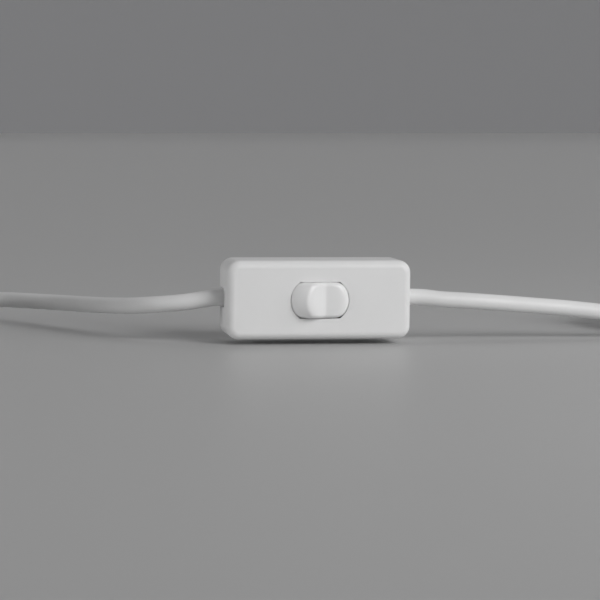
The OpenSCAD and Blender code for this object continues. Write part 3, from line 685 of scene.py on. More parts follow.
@dataclass
class Studio:
    """The floor, the wall behind it, the lamps and the camera, which are not part of the object."""

    lens_mm: float = 132.0
    sensor_mm: float = 36.0
    clip_m: tuple[float, float] = (0.01, 60.0)
    azimuth: float = -10.094
    elevation: float = 4.929
    roll: float = 0.604
    distance_mm: float = 715.248
    aim_mm: Point = (-4.808, 0.0, 11.977)
    floor_half_m: float = 12.0
    floor_drop_mm: float = 1.8
    wall_from_m: tuple[float, float] = (-2.29, 3.977)
    wall_to_m: tuple[float, float] = (4.918, 9.266)
    wall_height_m: float = 6.0
    floor_tone: str = "#C0C0C0"
    wall_tone: str = "#9C9C9E"
    stage_rough: float = 0.42
    stage_gloss: float = 0.35
    room_tone: str = "#EDEDED"
    room_strength: float = 0.11
    aim_m: Point = (0.0, 0.0, 0.013)
    lamps: tuple[Lamp, ...] = (
        Lamp("sky", Reach.FAR, 0.6, 60.0, (0.45, 0.6, 0.65)),
        Lamp("key", Reach.FAR, 1.42, 30.0, (0.5, -0.72, 0.48)),
        Lamp("fill", Reach.FAR, 1.4, 40.0, (-0.9, -0.2, 0.07), False),
        Lamp("softbox", Reach.NEAR, 0.65, 0.28, (0.40, -0.27, 0.21), False),
    )

    def build(self) -> None:
        """Builds the stage and the camera."""
        self._camera()
        self._ground()
        self._lamps()

    def _camera(self) -> None:
        """Puts the camera at the photograph's viewing angle."""
        lens = bpy.data.cameras.new("camera")
        lens.lens = self.lens_mm
        lens.sensor_width = self.sensor_mm
        lens.clip_start, lens.clip_end = self.clip_m
        eye = link("camera", lens)
        a, e, r = (math.radians(x) for x in (self.azimuth, self.elevation, self.roll))
        look = Vector((-math.sin(a) * math.cos(e), math.cos(a) * math.cos(e), -math.sin(e)))
        right = Vector((math.cos(a), math.sin(a), 0.0))
        up = right.cross(look)
        right, up = (
            right * math.cos(r) + up * math.sin(r), up * math.cos(r) - right * math.sin(r)
        )
        turn = Matrix((right, up, -look)).transposed().to_4x4()
        place = (Vector(self.aim_mm) - look * self.distance_mm) * MM
        eye.matrix_world = Matrix.Translation(place) @ turn
        bpy.context.scene.camera = eye

    def _ground(self) -> None:
        """Lays the floor and stands a wall at its far edge.

        The photograph shows a dark gap under the housing, which its stiff cords hold a little off
        the table, so the floor lies that much lower than the part.
        """
        half, low = self.floor_half_m, -self.floor_drop_mm * MM
        left, right, top = self.wall_from_m, self.wall_to_m, self.wall_height_m
        floor = [(-half, -half, low), (half, -half, low), (half, half, low), (-half, half, low)]
        wall = [(*left, low), (*right, low), (*right, top), (*left, top)]
        for name, corners, tone in (
            ("floor", floor, self.floor_tone), ("wall", wall, self.wall_tone)
        ):
            mesh = bpy.data.meshes.new(name)
            mesh.from_pydata(corners, [], [(0, 1, 2, 3)])
            made = bpy.data.materials.new("painted_" + name)
            made.use_nodes = True
            shader = made.node_tree.nodes["Principled BSDF"]
            shader.inputs["Base Color"].default_value = linear(tone)
            shader.inputs["Roughness"].default_value = self.stage_rough
            shader.inputs["Specular IOR Level"].default_value = self.stage_gloss
            mesh.materials.append(made)
            link(name, mesh)

    def _lamps(self) -> None:
        """Hangs the lamps and sets a pale room."""
        for lamp in self.lamps:
            light = bpy.data.lights.new(lamp.name, lamp.reach.value)
            light.energy = lamp.power
            if lamp.reach is Reach.FAR:
                light.angle = math.radians(lamp.width)
            else:
                light.size = lamp.width
            made = link(lamp.name, light)
            made.visible_camera = False
            made.visible_glossy = lamp.shines
            turn = (Vector(self.aim_m) - Vector(lamp.place_m)).to_track_quat("-Z", "Y")
            made.matrix_world = Matrix.Translation(lamp.place_m) @ turn.to_matrix().to_4x4()
        world = bpy.data.worlds.new("pale_room")
        world.use_nodes = True
        room = world.node_tree.nodes["Background"]
        room.inputs["Color"].default_value = linear(self.room_tone)
        room.inputs["Strength"].default_value = self.room_strength
        bpy.context.scene.world = world
        bpy.context.scene.view_settings.view_transform = "Standard"


@dataclass(frozen=True)
class Coil:
    """The sizes of a two-layer coil of cord, as the source winds it, in millimetres.

    Its tie lies at an angle, from near the centre to far from it, with its buckle between.
    """

    centre: tuple[float, float]
    inner: float
    turns: float
    entry: float
    tie_angle: float
    tie_near: float
    tie_far: float
    buckle_at: float
    pitch: float = 5.9
    low: float = 3.8
    steps_per_turn: int = 24

    def line(self, straight: float) -> list[Point]:
        """Gives the coil's centreline.

        Args:
            straight: Length of the straight piece at each end.

        Returns:
            Points from the coil's entry to its end.
        """
        count = math.ceil(self.turns * self.steps_per_turn)
        points = [self._point(i * self.turns * 360 / count) for i in range(count + 1)]
        first = math.radians(self.entry)
        last = math.radians(self.entry + self.turns * 360)
        head = Vector(points[0]) - straight * Vector((-math.sin(first), math.cos(first), 0))
        tail = Vector(points[-1]) + straight * Vector((-math.sin(last), math.cos(last), 0))
        return [tuple(head), *points, tuple(tail)]

    def _point(self, turned: float) -> Point:
        """Gives the point where the cord lies after some winding.

        Args:
            turned: Degrees of winding.

        Returns:
            The point in millimetres.
        """
        back = turned - self.turns * 180
        radius = self.inner + self.pitch * abs(back) / 360
        angle = math.radians(self.entry + turned)
        return (
            self.centre[0] + radius * math.cos(angle),
            self.centre[1] + radius * math.sin(angle),
            self.low + self.pitch * ease((back + 90) / 180),
        )


@dataclass
class Lead:
    """The lamp's lead: one cord to the plug and one to the lamp, each wound up out of sight."""

    diameter: float = 5.4
    end_x: float = 30.0
    exit_y: float = 2.0
    exit_z: float = 12.7
    plug_length_m: float = 1.1
    lamp_length_m: float = 0.54
    round_steps: int = 6
    line_steps: int = 4
    plug_coil: Coil = Coil(
        centre=(-141.0, 54.0), inner=21.6, turns=4 + 290 / 360, entry=70.0,
        tie_angle=150.0, tie_near=18.6, tie_far=38.78, buckle_at=32.5,
    )
    lamp_coil: Coil = Coil(
        centre=(144.0, 35.6375), inner=24.0, turns=2.25, entry=270.0,
        tie_angle=60.0, tie_near=21.0, tie_far=33.64, buckle_at=29.4,
    )
    left_route: tuple[Point, ...] = (
        (-37, 2.2, 12.05), (-42.2, 2.8, 11.25), (-48, 5.2, 10.5), (-53, 9, 9.85),
        (-57, 14.2, 9.15), (-61, 21, 8.55), (-66, 29.7, 7.95), (-71.5, 39.3, 7.45),
        (-77, 48.8, 7.05), (-83, 58.5, 6.6), (-90.5, 67.8, 6.3), (-99, 75.6, 6),
        (-108.5, 80.2, 5),
    )
    right_route: tuple[Point, ...] = (
        (36.5, 2, 12.55), (42, 2.1, 11.9), (51, 2.7, 11.3), (60, 3.5, 10.6), (72, 4.5, 9.6),
        (84, 5, 8.6), (96, 5, 7.4), (108, 5, 6), (120, 5, 4.6),
    )
    plug_route: tuple[Point, ...] = (
        (-106.6, 70.3, 10.2), (-110.8, 77.5, 11.5), (-117.2, 82.9, 13.3), (-125, 85.7, 15.3),
        (-133.4, 85.7, 17.1), (-141.2, 82.9, 18.5), (-147.6, 77.5, 19.1), (-151.8, 70.3, 19.2),
        (-153.2, 62.1, 19.2), (-153.2, 58, 19.2),
    )
    tail_route: tuple[Point, ...] = (
        (0, 9, -0.7), (-0.3, 15.5, -2.4), (-1, 22, -4), (-1.6, 28.5, -4.8), (-1.6, 31.2, -4.8),
    )
    left: Thing | None = None
    right: Thing | None = None

    def build(self) -> None:
        """Builds both cords."""
        to_plug = self._line(-1, self.left_route, self.plug_coil, self.plug_route)
        to_lamp = self._line(1, self.right_route, self.lamp_coil, self.tail())
        self.left = dress(
            self._tube("cord_to_plug", to_plug), WHITE_PVC, "left_cord", "left_coil", "plug_lead"
        )
        self.right = dress(
            self._tube("cord_to_lamp", to_lamp), WHITE_PVC, "right_cord", "right_coil", "right_tail"
        )

    def _line(
        self, side: int, route: Iterable[Point], coil: Coil, onwards: Iterable[Point]
    ) -> list[Point]:
        """Gives a cord's centreline.

        Args:
            side: -1 for the left, 1 for the right.
            route: Points between the housing and the coil.
            coil: The cord's coil.
            onwards: Points between the coil and the cord's end.

        Returns:
            All the points from the housing on, in millimetres.
        """
        ends = (self.end_x, self.end_x + self.diameter / 2)
        out = [(side * x, self.exit_y, self.exit_z) for x in ends]
        turns = coil.line(self.diameter)
        lead_in = 2 * Vector(turns[0]) - Vector(turns[1])
        lead_out = 1.5 * Vector(turns[-1]) - 0.5 * Vector(turns[-2])
        return [*out, *route, tuple(lead_in), *turns, tuple(lead_out), *onwards]

    def tail(self) -> list[Point]:
        """Gives the points from the lamp's coil to the sheath's end."""
        coil_end = Vector(self.lamp_coil.line(self.diameter)[-1])
        return [tuple(coil_end + Vector(step)) for step in self.tail_route]

    def _tube(self, name: str, points: Sequence[Point]) -> Thing:
        """Makes a cord along points as a curve of one open spline.

        Args:
            name: The curve's name.
            points: The centreline in millimetres.

        Returns:
            The curve's object, at the origin.
        """
        curve = bpy.data.curves.new(name, "CURVE")
        curve.dimensions = "3D"
        curve.bevel_depth = self.diameter / 2 * MM
        curve.bevel_resolution = self.round_steps
        curve.use_fill_caps = True
        curve.resolution_u = curve.render_resolution_u = self.line_steps
        spline = curve.splines.new("BEZIER")
        spline.bezier_points.add(len(points) - 1)
        for knot, point in zip(spline.bezier_points, points):
            knot.co = Vector(point) * MM
            knot.handle_left_type = knot.handle_right_type = "AUTO"
        return link(name, curve)


class Facing(Enum):
    """Where a screw's head looks, as its turn about X from looking up."""

    FRONT = QUARTER
    BACK = -QUARTER


@dataclass
class ScrewSet:
    """Equal screws on several seats, grown by nodes, with a crossed recess and a rolled thread.

    Sizes are in millimetres. The shares are of the head's, the shank's or the pitch's own size.
    """

    name: str
    seats: Sequence[Point]
    facing: Facing
    head_r: float
    head_t: float
    shank_r: float
    shank_l: float
    recess_w: float
    pitch: float
    rim_share: float = 0.7
    crown_share: float = 0.38
    crown_r_share: float = 0.72
    cross_share: float = 1.3
    deep_share: float = 1.2
    sunk_share: float = 0.05
    thread_share: float = 0.16
    head_sides: int = 36
    shank_sides: int = 28
    thread_steps: int = 18
    thread_sides: int = 5
    edge_mm: float = 0.05

    def build(self, node: str) -> None:
        """Grows and dresses the screws as one piece.

        Args:
            node: The CAD screws that they stand for.
        """
        recess = (self.cross_share * self.head_r, self.recess_w, self.deep_share * self.head_t)
        sizes: Sizes = {
            "Head radius": self.head_r * MM,
            "Rim height": self.rim_share * self.head_t * MM,
            "Rim place": metres((0, 0, self.rim_share / 2 * self.head_t)),
            "Crown radius": self.crown_r_share * self.head_r * MM,
            "Crown height": self.crown_share * self.head_t * MM,
            "Crown place": metres((0, 0, (1 - self.crown_share) * self.head_t)),
            "Recess size": metres(recess),
            "Recess place": metres((0, 0, self.head_t)),
            "Shank radius": self.shank_r * MM,
            "Shank length": self.shank_l * MM,
            "Shank place": metres((0, 0, (self.sunk_share - 0.5) * self.shank_l)),
            "Thread place": metres((0, 0, (self.sunk_share - 1) * self.shank_l)),
            "Thread turns": self.shank_l / self.pitch,
            "Thread depth": self.thread_share * self.pitch * MM,
            "Turn": (self.facing.value, 0.0, 0.0),
        }
        made = grow(self.name, self.seats, sizes, PLATED_STEEL, self._shape)
        dress(smooth_edges(made, self.edge_mm), PLATED_STEEL, node)

    def _shape(self, add: Add, given: Any) -> Socket:
        """Adds the nodes of one screw, head upwards, and puts one on each seat.

        Args:
            add: Adds a node to the tree.
            given: The group's inputs.

        Returns:
            The screws as instances.
        """
        rim = add(
            "GeometryNodeMeshCylinder",
            {"Vertices": self.head_sides, "Radius": given["Head radius"],
             "Depth": given["Rim height"]},
        )
        crown = add(
            "GeometryNodeMeshCone",
            {"Vertices": self.head_sides, "Radius Top": given["Crown radius"],
             "Radius Bottom": given["Head radius"], "Depth": given["Crown height"]},
        )
        shank = add(
            "GeometryNodeMeshCylinder",
            {"Vertices": self.shank_sides, "Radius": given["Shank radius"],
             "Depth": given["Shank length"]},
        )
        thread = wound(
            add, given["Shank radius"], given["Thread turns"], given["Shank length"],
            given["Thread depth"], self.thread_steps, self.thread_sides,
        )
        bar = add("GeometryNodeMeshCube", {"Size": given["Recess size"]})
        rim, crown, shank, thread, bar, cross = (
            add(
                "GeometryNodeTransform",
                {"Geometry": mesh, "Translation": given[part + " place"],
                 "Rotation": (0.0, 0.0, turn)},
            )
            for mesh, part, turn in (
                (rim, "Rim", 0.0), (crown, "Crown", 0.0), (shank, "Shank", 0.0),
                (thread, "Thread", 0.0), (bar, "Recess", 0.0), (bar, "Recess", QUARTER),
            )
        )
        blank = add(
            "GeometryNodeMeshBoolean", {"Mesh 2": [rim, crown]}, operation="UNION", solver="EXACT"
        )
        cut = add(
            "GeometryNodeMeshBoolean", {"Mesh 1": blank, "Mesh 2": [bar, cross]},
            operation="DIFFERENCE", solver="EXACT",
        )
        screw = add("GeometryNodeJoinGeometry", {"Geometry": [cut, shank, thread]})
        return add(
            "GeometryNodeInstanceOnPoints",
            {"Points": given["Geometry"], "Instance": screw, "Rotation": given["Turn"]},
        )


@dataclass
class Housing:
    """The two shells and the screws that hold them together."""

    edge_mm: float = 0.22
    screw_seats: tuple[Point, ...] = ((-18.5, 7.0, 19.9), (18.5, 7.0, 5.5))

    def build(self) -> None:
        """Builds and dresses the shells and their screws."""
        for node, name in (("front_shell", "front_cover"), ("back_shell", "back_cover")):
            dress(softened(node, name, self.edge_mm), WHITE_ABS, node)
        ScrewSet(
            "cover_screws", self.screw_seats, Facing.BACK,
            head_r=2.1, head_t=1.6, shank_r=1.25, shank_l=11.0, recess_w=0.7, pitch=1.0,
        ).build("housing_screws")


@dataclass
class RockerSwitch:
    """The rocker with its plunger and spring.

    The rocker's outside is a barrel about the pivot under two sloping finger pads. Its crests, its
    valley and its upper and lower rims are rounded here, and its inside is the solid's own.
    """

    pivot: Point = (0.0, -4.4, 12.7)
    tilt: float = 13.0
    half_height: float = 5.7
    flank_r: float = 10.9
    flank_round_r: float = 7.9
    pad_angle: float = 20.0
    valley_r: float = 6.9
    skirt: float = 1.5
    crest_blend: float = 1.9
    valley_blend: float = 0.1
    least_open: float = 0.2
    rim_r: float = 1.3
    rim_taper: float = 0.45
    rim_fade: int = 3
    high_rim: float = 0.13
    skin: float = 0.006
    sharp: float = 32.0
    columns: int = 132
    rows: int = 28
    rim_rows: int = 9
    behind: Point = (30.0, 20.0, 30.0)
    overlap: float = 0.01
    plunger_edge: float = 0.08
    spring_r: float = 1.1
    spring_wire: float = 0.4
    spring_from: float = -4.1
    spring_to: float = 0.8
    spring_curls: float = 5.0
    spring_steps: int = 36
    spring_sides: int = 12

    def build(self) -> None:
        """Builds and dresses the rocker, the plunger and the spring."""
        dress(self._key(), WHITE_ABS_POLISHED, "rocker", body=Body.ROCKER)
        plunger = softened("plunger", "plunger_pin", self.plunger_edge)
        dress(plunger, NATURAL_ACETAL, "plunger", body=Body.ROCKER)
        dress(self._spring(), SPRING_STEEL, "plunger_spring", body=Body.ROCKER)

    def _frame(self) -> Matrix:
        """Gives the rocker's own frame at rest, in metres."""
        place = Matrix.Translation(Vector(self.pivot) * MM)
        return place @ Matrix.Rotation(math.radians(self.tilt), 4, "Z")

    def _radius(self, angle: float, height: float) -> float:
        """Gives the distance of the rounded outside from the pivot's axis.

        Args:
            angle: Angle from straight ahead, in radians.
            height: Height above the rocker's middle, in millimetres.

        Returns:
            The radius in millimetres.
        """
        centre = self.flank_r - self.flank_round_r
        flank = centre + math.sqrt(self.flank_round_r ** 2 - height ** 2)
        side = math.sqrt(math.sin(angle) ** 2 + self.valley_blend ** 2) - self.valley_blend
        open_to = math.cos(angle) - side * math.tan(math.radians(self.pad_angle))
        pad = self.valley_r / max(open_to, self.least_open)
        share = min(max(0.5 + 0.5 * (pad - flank) / self.crest_blend, 0.0), 1.0)
        blend = pad + (flank - pad) * share - self.crest_blend * share * (1 - share)
        return min(blend, flank) - self.skin

    def _levels(self) -> list[tuple[float, float]]:
        """Lists the rows of the outside.

        Returns:
            The height and the inset of each row, from the bottom up.
        """
        straight = self.half_height - self.rim_r
        rim = [
            (straight + self.rim_r * math.sin(t), self.rim_r * (1 - math.cos(t)))
            for t in (QUARTER * i / self.rim_rows for i in range(1, self.rim_rows + 1))
        ]
        middle = [(straight * (2 * i / self.rows - 1), 0.0) for i in range(self.rows + 1)]
        return [(-z, inset) for z, inset in reversed(rim)] + middle + rim

    def _outside(self) -> Thing:
        """Makes the rounded form that trims the solid's outside in front of its skirt.

        Returns:
            The form as a closed mesh.
        """
        loops = []
        for height, inset in self._levels():
            height *= 1 - self.skin / self.half_height
            widest = math.acos(self.skirt / self._radius(QUARTER, height))
            loop = []
            for i in range(self.columns + 1):
                angle = widest * (2 * i / self.columns - 1)
                inwards = inset * (1 - self.rim_taper * abs(angle / widest) ** self.rim_fade)
                reach = self._radius(angle, height) - inwards
                loop.append((reach * math.sin(angle), -reach * math.cos(angle), height))
            loop += [(loop[-1][0], 0.0, height), (loop[0][0], 0.0, height)]
            loops.append(loop)
        form = loft("rocker_outside", loops)
        form.data.transform(self._frame())
        return form

    def _behind(self) -> Thing:
        """Makes the block that keeps all of the solid behind its skirt.

        Returns:
            The block as a closed mesh.
        """
        made = bmesh.new()
        bmesh.ops.create_cube(made, size=1.0)
        mesh = bpy.data.meshes.new("rocker_behind")
        made.to_mesh(mesh)
        made.free()
        back = self.behind[1] / 2 - self.skirt - self.overlap
        mesh.transform(Matrix.Diagonal((*metres(self.behind), 1.0)))
        mesh.transform(Matrix.Translation((0.0, back * MM, 0.0)))
        mesh.transform(self._frame())
        return link("rocker_behind", mesh)

    def _key(self) -> Thing:
        """Trims a copy of the solid to the rounded outside.

        Returns:
            The rocker as one closed mesh.
        """
        form, behind = self._outside(), self._behind()
        joined = form.modifiers.new("joined", "BOOLEAN")
        joined.operation, joined.solver, joined.object = "UNION", "EXACT", behind
        settle(form)
        piece = softened("rocker", "rocker_key", 0.0)
        trimmed = piece.modifiers.new("trimmed", "BOOLEAN")
        trimmed.operation, trimmed.solver, trimmed.object = "INTERSECT", "EXACT", form
        settle(piece)
        for helper in (form, behind):
            bpy.data.objects.remove(helper)
        for vertex in piece.data.vertices:
            up = vertex.co.z / MM - self.pivot[2]
            vertex.co.z += self.high_rim * MM * ease(up / (self.half_height - self.rim_r))
        return shade(piece, self.sharp)

    def _spring(self) -> Thing:
        """Grows the plunger's spring in its bore.

        Returns:
            The spring as one piece.
        """
        sizes: Sizes = {
            "Curl radius": self.spring_r * MM, "Wire radius": self.spring_wire / 2 * MM,
            "Length": (self.spring_to - self.spring_from) * MM, "Curls": self.spring_curls,
        }
        made = grow("plunger_coil_spring", [self.pivot], sizes, SPRING_STEEL, self._wire)
        lay = Matrix.Rotation(-QUARTER, 4, "X")
        start = Matrix.Translation((0.0, 0.0, self.spring_from * MM))
        made.data.transform(self._frame() @ lay @ start)
        made.data.shade_smooth()
        return made

    def _wire(self, add: Add, given: Any) -> Socket:
        """Adds the nodes of the spring's wire.

        Args:
            add: Adds a node to the tree.
            given: The group's inputs.

        Returns:
            The wire as a mesh.
        """
        return wound(
            add, given["Curl radius"], given["Curls"], given["Length"], given["Wire radius"],
            self.spring_steps, self.spring_sides,
        )


@dataclass
class Contacts:
    """The lever, the contacts and the terminals inside the housing."""

    edge_mm: float = 0.1
    edge_steps: int = 2
    screw_seats: tuple[Point, ...] = (
        (-12.5, 1.0, 14.3), (12.5, 1.0, 14.3), (-5.6, 2.2, 4.9), (5.6, 2.2, 4.9),
    )

    def build(self) -> None:
        """Rounds the stampings' edges a little and dresses everything."""
        for node, name, finish, body in (
            ("contact_lever", "rocking_contact_lever", STAMPED_BRASS, Body.LEVER),
            ("moving_contact", "moving_contact_rivet", CONTACT_SILVER, Body.LEVER),
            ("lever_pin", "lever_hinge_pin", PLATED_STEEL, Body.HOUSING),
            ("live_in_terminal", "live_in_strip", STAMPED_BRASS, Body.HOUSING),
            ("live_out_terminal", "live_out_strip", STAMPED_BRASS, Body.HOUSING),
            ("fixed_contact", "fixed_contact_rivet", CONTACT_SILVER, Body.HOUSING),
            ("neutral_link", "neutral_through_link", STAMPED_BRASS, Body.HOUSING),
        ):
            dress(softened(node, name, self.edge_mm, self.edge_steps), finish, node, body=body)
        ScrewSet(
            "clamp_screws", self.screw_seats, Facing.FRONT,
            head_r=1.7, head_t=1.6, shank_r=1.1, shank_l=1.8, recess_w=0.5, pitch=0.6,
        ).build("terminal_screws")


@dataclass
class CordEntries:
    """The grips, the cords' ends, the cores and their bared strands inside the housing."""

    edge_mm: float = 0.3
    screw_seats: tuple[Point, ...] = (
        (-24.0, -2.9, 7.3), (-24.0, -2.9, 18.1), (24.0, -2.9, 7.3), (24.0, -2.9, 18.1),
    )
    sheath_x: tuple[float, ...] = (20.5, 25.0, 30.0)
    cord_r: float = 2.7
    core_up: float = 1.1
    middle: tuple[float, float] = (2.0, 12.7)
    live_end: Point = (14.8, 3.4, 14.3)
    neutral_end: Point = (9.0, 4.6, 4.9)
    bare_l: float = 4.0
    bundle_r: float = 0.55
    strands: int = 6
    strand_lay: float = 5.0
    strand_steps: int = 24
    strand_sides: int = 8

    def build(self) -> None:
        """Builds and dresses the grips, the sheath ends, the cores and the strands."""
        for side in ("left", "right"):
            node = side + "_cord_grip"
            dress(softened(node, side + "_grip_bar", self.edge_mm), NATURAL_NYLON, node)
        ScrewSet(
            "grip_screws", self.screw_seats, Facing.FRONT,
            head_r=1.6, head_t=1.2, shank_r=0.9, shank_l=7.0, recess_w=0.5, pitch=0.8,
        ).build("cord_grip_screws")
        for side, word in ((-1, "left"), (1, "right")):
            self._side(side, word)
        dress(self._bare_ends(), STRANDED_COPPER, "stripped_conductors")

    def _side(self, side: int, word: str) -> None:
        """Builds one side's sheath end and its two cores.

        Args:
            side: -1 for the left, 1 for the right.
            word: The side's name.
        """
        y, z = self.middle
        sheath = [(side * x, y, z) for x in self.sheath_x]
        stub = swept(word + "_sheath_stub", sheath, self.cord_r, WHITE_PVC)
        dress(stub, WHITE_PVC, word + "_sheath_end")
        for core, up, end, finish in (
            ("live", self.core_up, self.live_end, BROWN_PVC),
            ("neutral", -self.core_up, self.neutral_end, BLUE_PVC),
        ):
            start = (side * self.sheath_x[0], y, z + up)
            line = eased_line(start, (side * end[0], end[1], end[2]), 0)
            lay_core(word, core, line, finish)

    def _bare_ends(self) -> Thing:
        """Grows the twisted strands in the four clamps.

        Returns:
            The strands as one piece.
        """
        seats = [
            (x, *end[1:])
            for end in (self.live_end, self.neutral_end) for x in (end[0] - self.bare_l, -end[0])
        ]
        sizes: Sizes = {
            "Length": self.bare_l * MM, "Lay circle": self.bundle_r * 2 / 3 * MM,
            "Strand radius": self.bundle_r / 3 * MM, "Strands": self.strands,
            "Twists": self.bare_l / self.strand_lay, "Turn": (0.0, QUARTER, 0.0),
        }
        made = grow("bare_strands", seats, sizes, STRANDED_COPPER, self._strands)
        made.data.shade_smooth()
        return made

    def _strands(self, add: Add, given: Any) -> Socket:
        """Adds the nodes of a strand wound round a straight one, and puts a bundle on each seat.

        Args:
            add: Adds a node to the tree.
            given: The group's inputs.

        Returns:
            The bundles as instances.
        """
        outer, straight = (
            wound(
                add, radius, given["Twists"], given["Length"], given["Strand radius"],
                self.strand_steps, self.strand_sides,
            )
            for radius in (given["Lay circle"], 0.0)
        )
        number = add("GeometryNodeInputIndex")
        angle = add("ShaderNodeMath", {0: number, 1: 2 * math.pi / self.strands}, operation="MULTIPLY")
        about = add("ShaderNodeCombineXYZ", {"Z": angle})
        start = add("GeometryNodeMeshLine", {"Count": given["Strands"], "Offset": (0.0, 0.0, 0.0)})
        around = add(
            "GeometryNodeInstanceOnPoints", {"Points": start, "Instance": outer, "Rotation": about}
        )
        bundle = add("GeometryNodeJoinGeometry", {"Geometry": [around, straight]})
        return add(
            "GeometryNodeInstanceOnPoints",
            {"Points": given["Geometry"], "Instance": bundle, "Rotation": given["Turn"]},
        )


@dataclass
class CoilTie:
    """A ridged nylon strap with a buckle, closed round all the turns of a coil."""

    BARS: ClassVar[tuple[str, ...]] = ("Ridge", "Buckle", "Tail")

    name: str
    coil: Coil
    high: float = 12.7
    low: float = 0.8
    strap_t: float = 0.6
    strap_w: float = 8.0
    strap_edge: float = 0.2
    strap_edge_steps: int = 3
    corner: float = 3.0
    corner_steps: int = 10
    ridges: int = 74
    ridge: Point = (0.16, 5.6, 0.45)
    buckle: Point = (5.6, 3.1, 9.4)
    buckle_sunk: float = 0.5
    tail_t: float = 0.7
    tail_w: float = 6.6
    edge_mm: float = 0.25

    def build(self, node: str) -> Thing:
        """Grows the strap and closes it round its coil.

        Args:
            node: The CAD strap that it stands for.

        Returns:
            The strap with its buckle.
        """
        near, far, buckle_at = self.coil.tie_near, self.coil.tie_far, self.coil.buckle_at
        tall = self.high - self.low + self.strap_t
        middle = (near + far) / 2
        top = tall / 2 + self.strap_t / 2
        tail_from = near + self.corner
        tail = (buckle_at - tail_from, self.tail_t, self.tail_w)
        buckle_y = top + self.buckle[1] / 2 - self.buckle_sunk
        sizes: Sizes = {
            "Loop width": (far - near + self.strap_t) * MM, "Loop height": tall * MM,
            "Corner radius": (self.corner + self.strap_t / 2) * MM,
            "Strap width": self.strap_w * MM, "Strap thickness": self.strap_t * MM,
            "Edge radius": self.strap_edge * MM, "Ridges": self.ridges,
            "Ridge size": metres(self.ridge),
            "Ridge place": metres((self.strap_t / 2, 0, 0)),
            "Buckle size": metres(self.buckle),
            "Buckle place": metres((buckle_at - middle, buckle_y, 0)),
            "Tail size": metres(tail),
            "Tail place": metres((tail_from + tail[0] / 2 - middle, top + self.tail_t / 2, 0)),
        }
        made = grow(self.name, [(0.0, 0.0, 0.0)], sizes, BLACK_NYLON, self._shape)
        smooth_edges(made, self.edge_mm)
        turn = Matrix.Rotation(math.radians(self.coil.tie_angle), 4, "Z")
        stand = Matrix.Rotation(QUARTER, 4, "X")
        out = Matrix.Translation((middle * MM, 0.0, (self.low + self.high) / 2 * MM))
        place = Matrix.Translation((*metres(self.coil.centre), 0.0))
        made.data.transform(place @ turn @ out @ stand)
        return dress(made, BLACK_NYLON, node)

    def _shape(self, add: Add, given: Any) -> Socket:
        """Adds the nodes of a flat loop with ridges, a buckle and a tail.

        Args:
            add: Adds a node to the tree.
            given: The group's inputs.

        Returns:
            The strap's geometry.
        """
        bent = rounded(
            add, given["Loop width"], given["Loop height"], given["Corner radius"],
            self.corner_steps,
        )
        loop = add("GeometryNodeSetCurveNormal", {"Curve": bent}, mode="Z_UP")
        flat = rounded(
            add, given["Strap thickness"], given["Strap width"], given["Edge radius"],
            self.strap_edge_steps,
        )
        strap = add("GeometryNodeCurveToMesh", {"Curve": loop, "Profile Curve": flat})
        bars = [add("GeometryNodeMeshCube", {"Size": given[key + " size"]}) for key in self.BARS]
        ridge, buckle, tail = (
            add("GeometryNodeTransform", {"Geometry": bar, "Translation": given[key + " place"]})
            for bar, key in zip(bars, self.BARS)
        )
        points = add(
            "GeometryNodeCurveToPoints", {"Curve": loop, "Count": given["Ridges"]}, mode="COUNT"
        )
        ridged = add(
            "GeometryNodeInstanceOnPoints",
            {"Points": points, "Instance": ridge, "Rotation": points.node.outputs["Rotation"]},
        )
        return add("GeometryNodeJoinGeometry", {"Geometry": [strap, ridged, buckle, tail]})


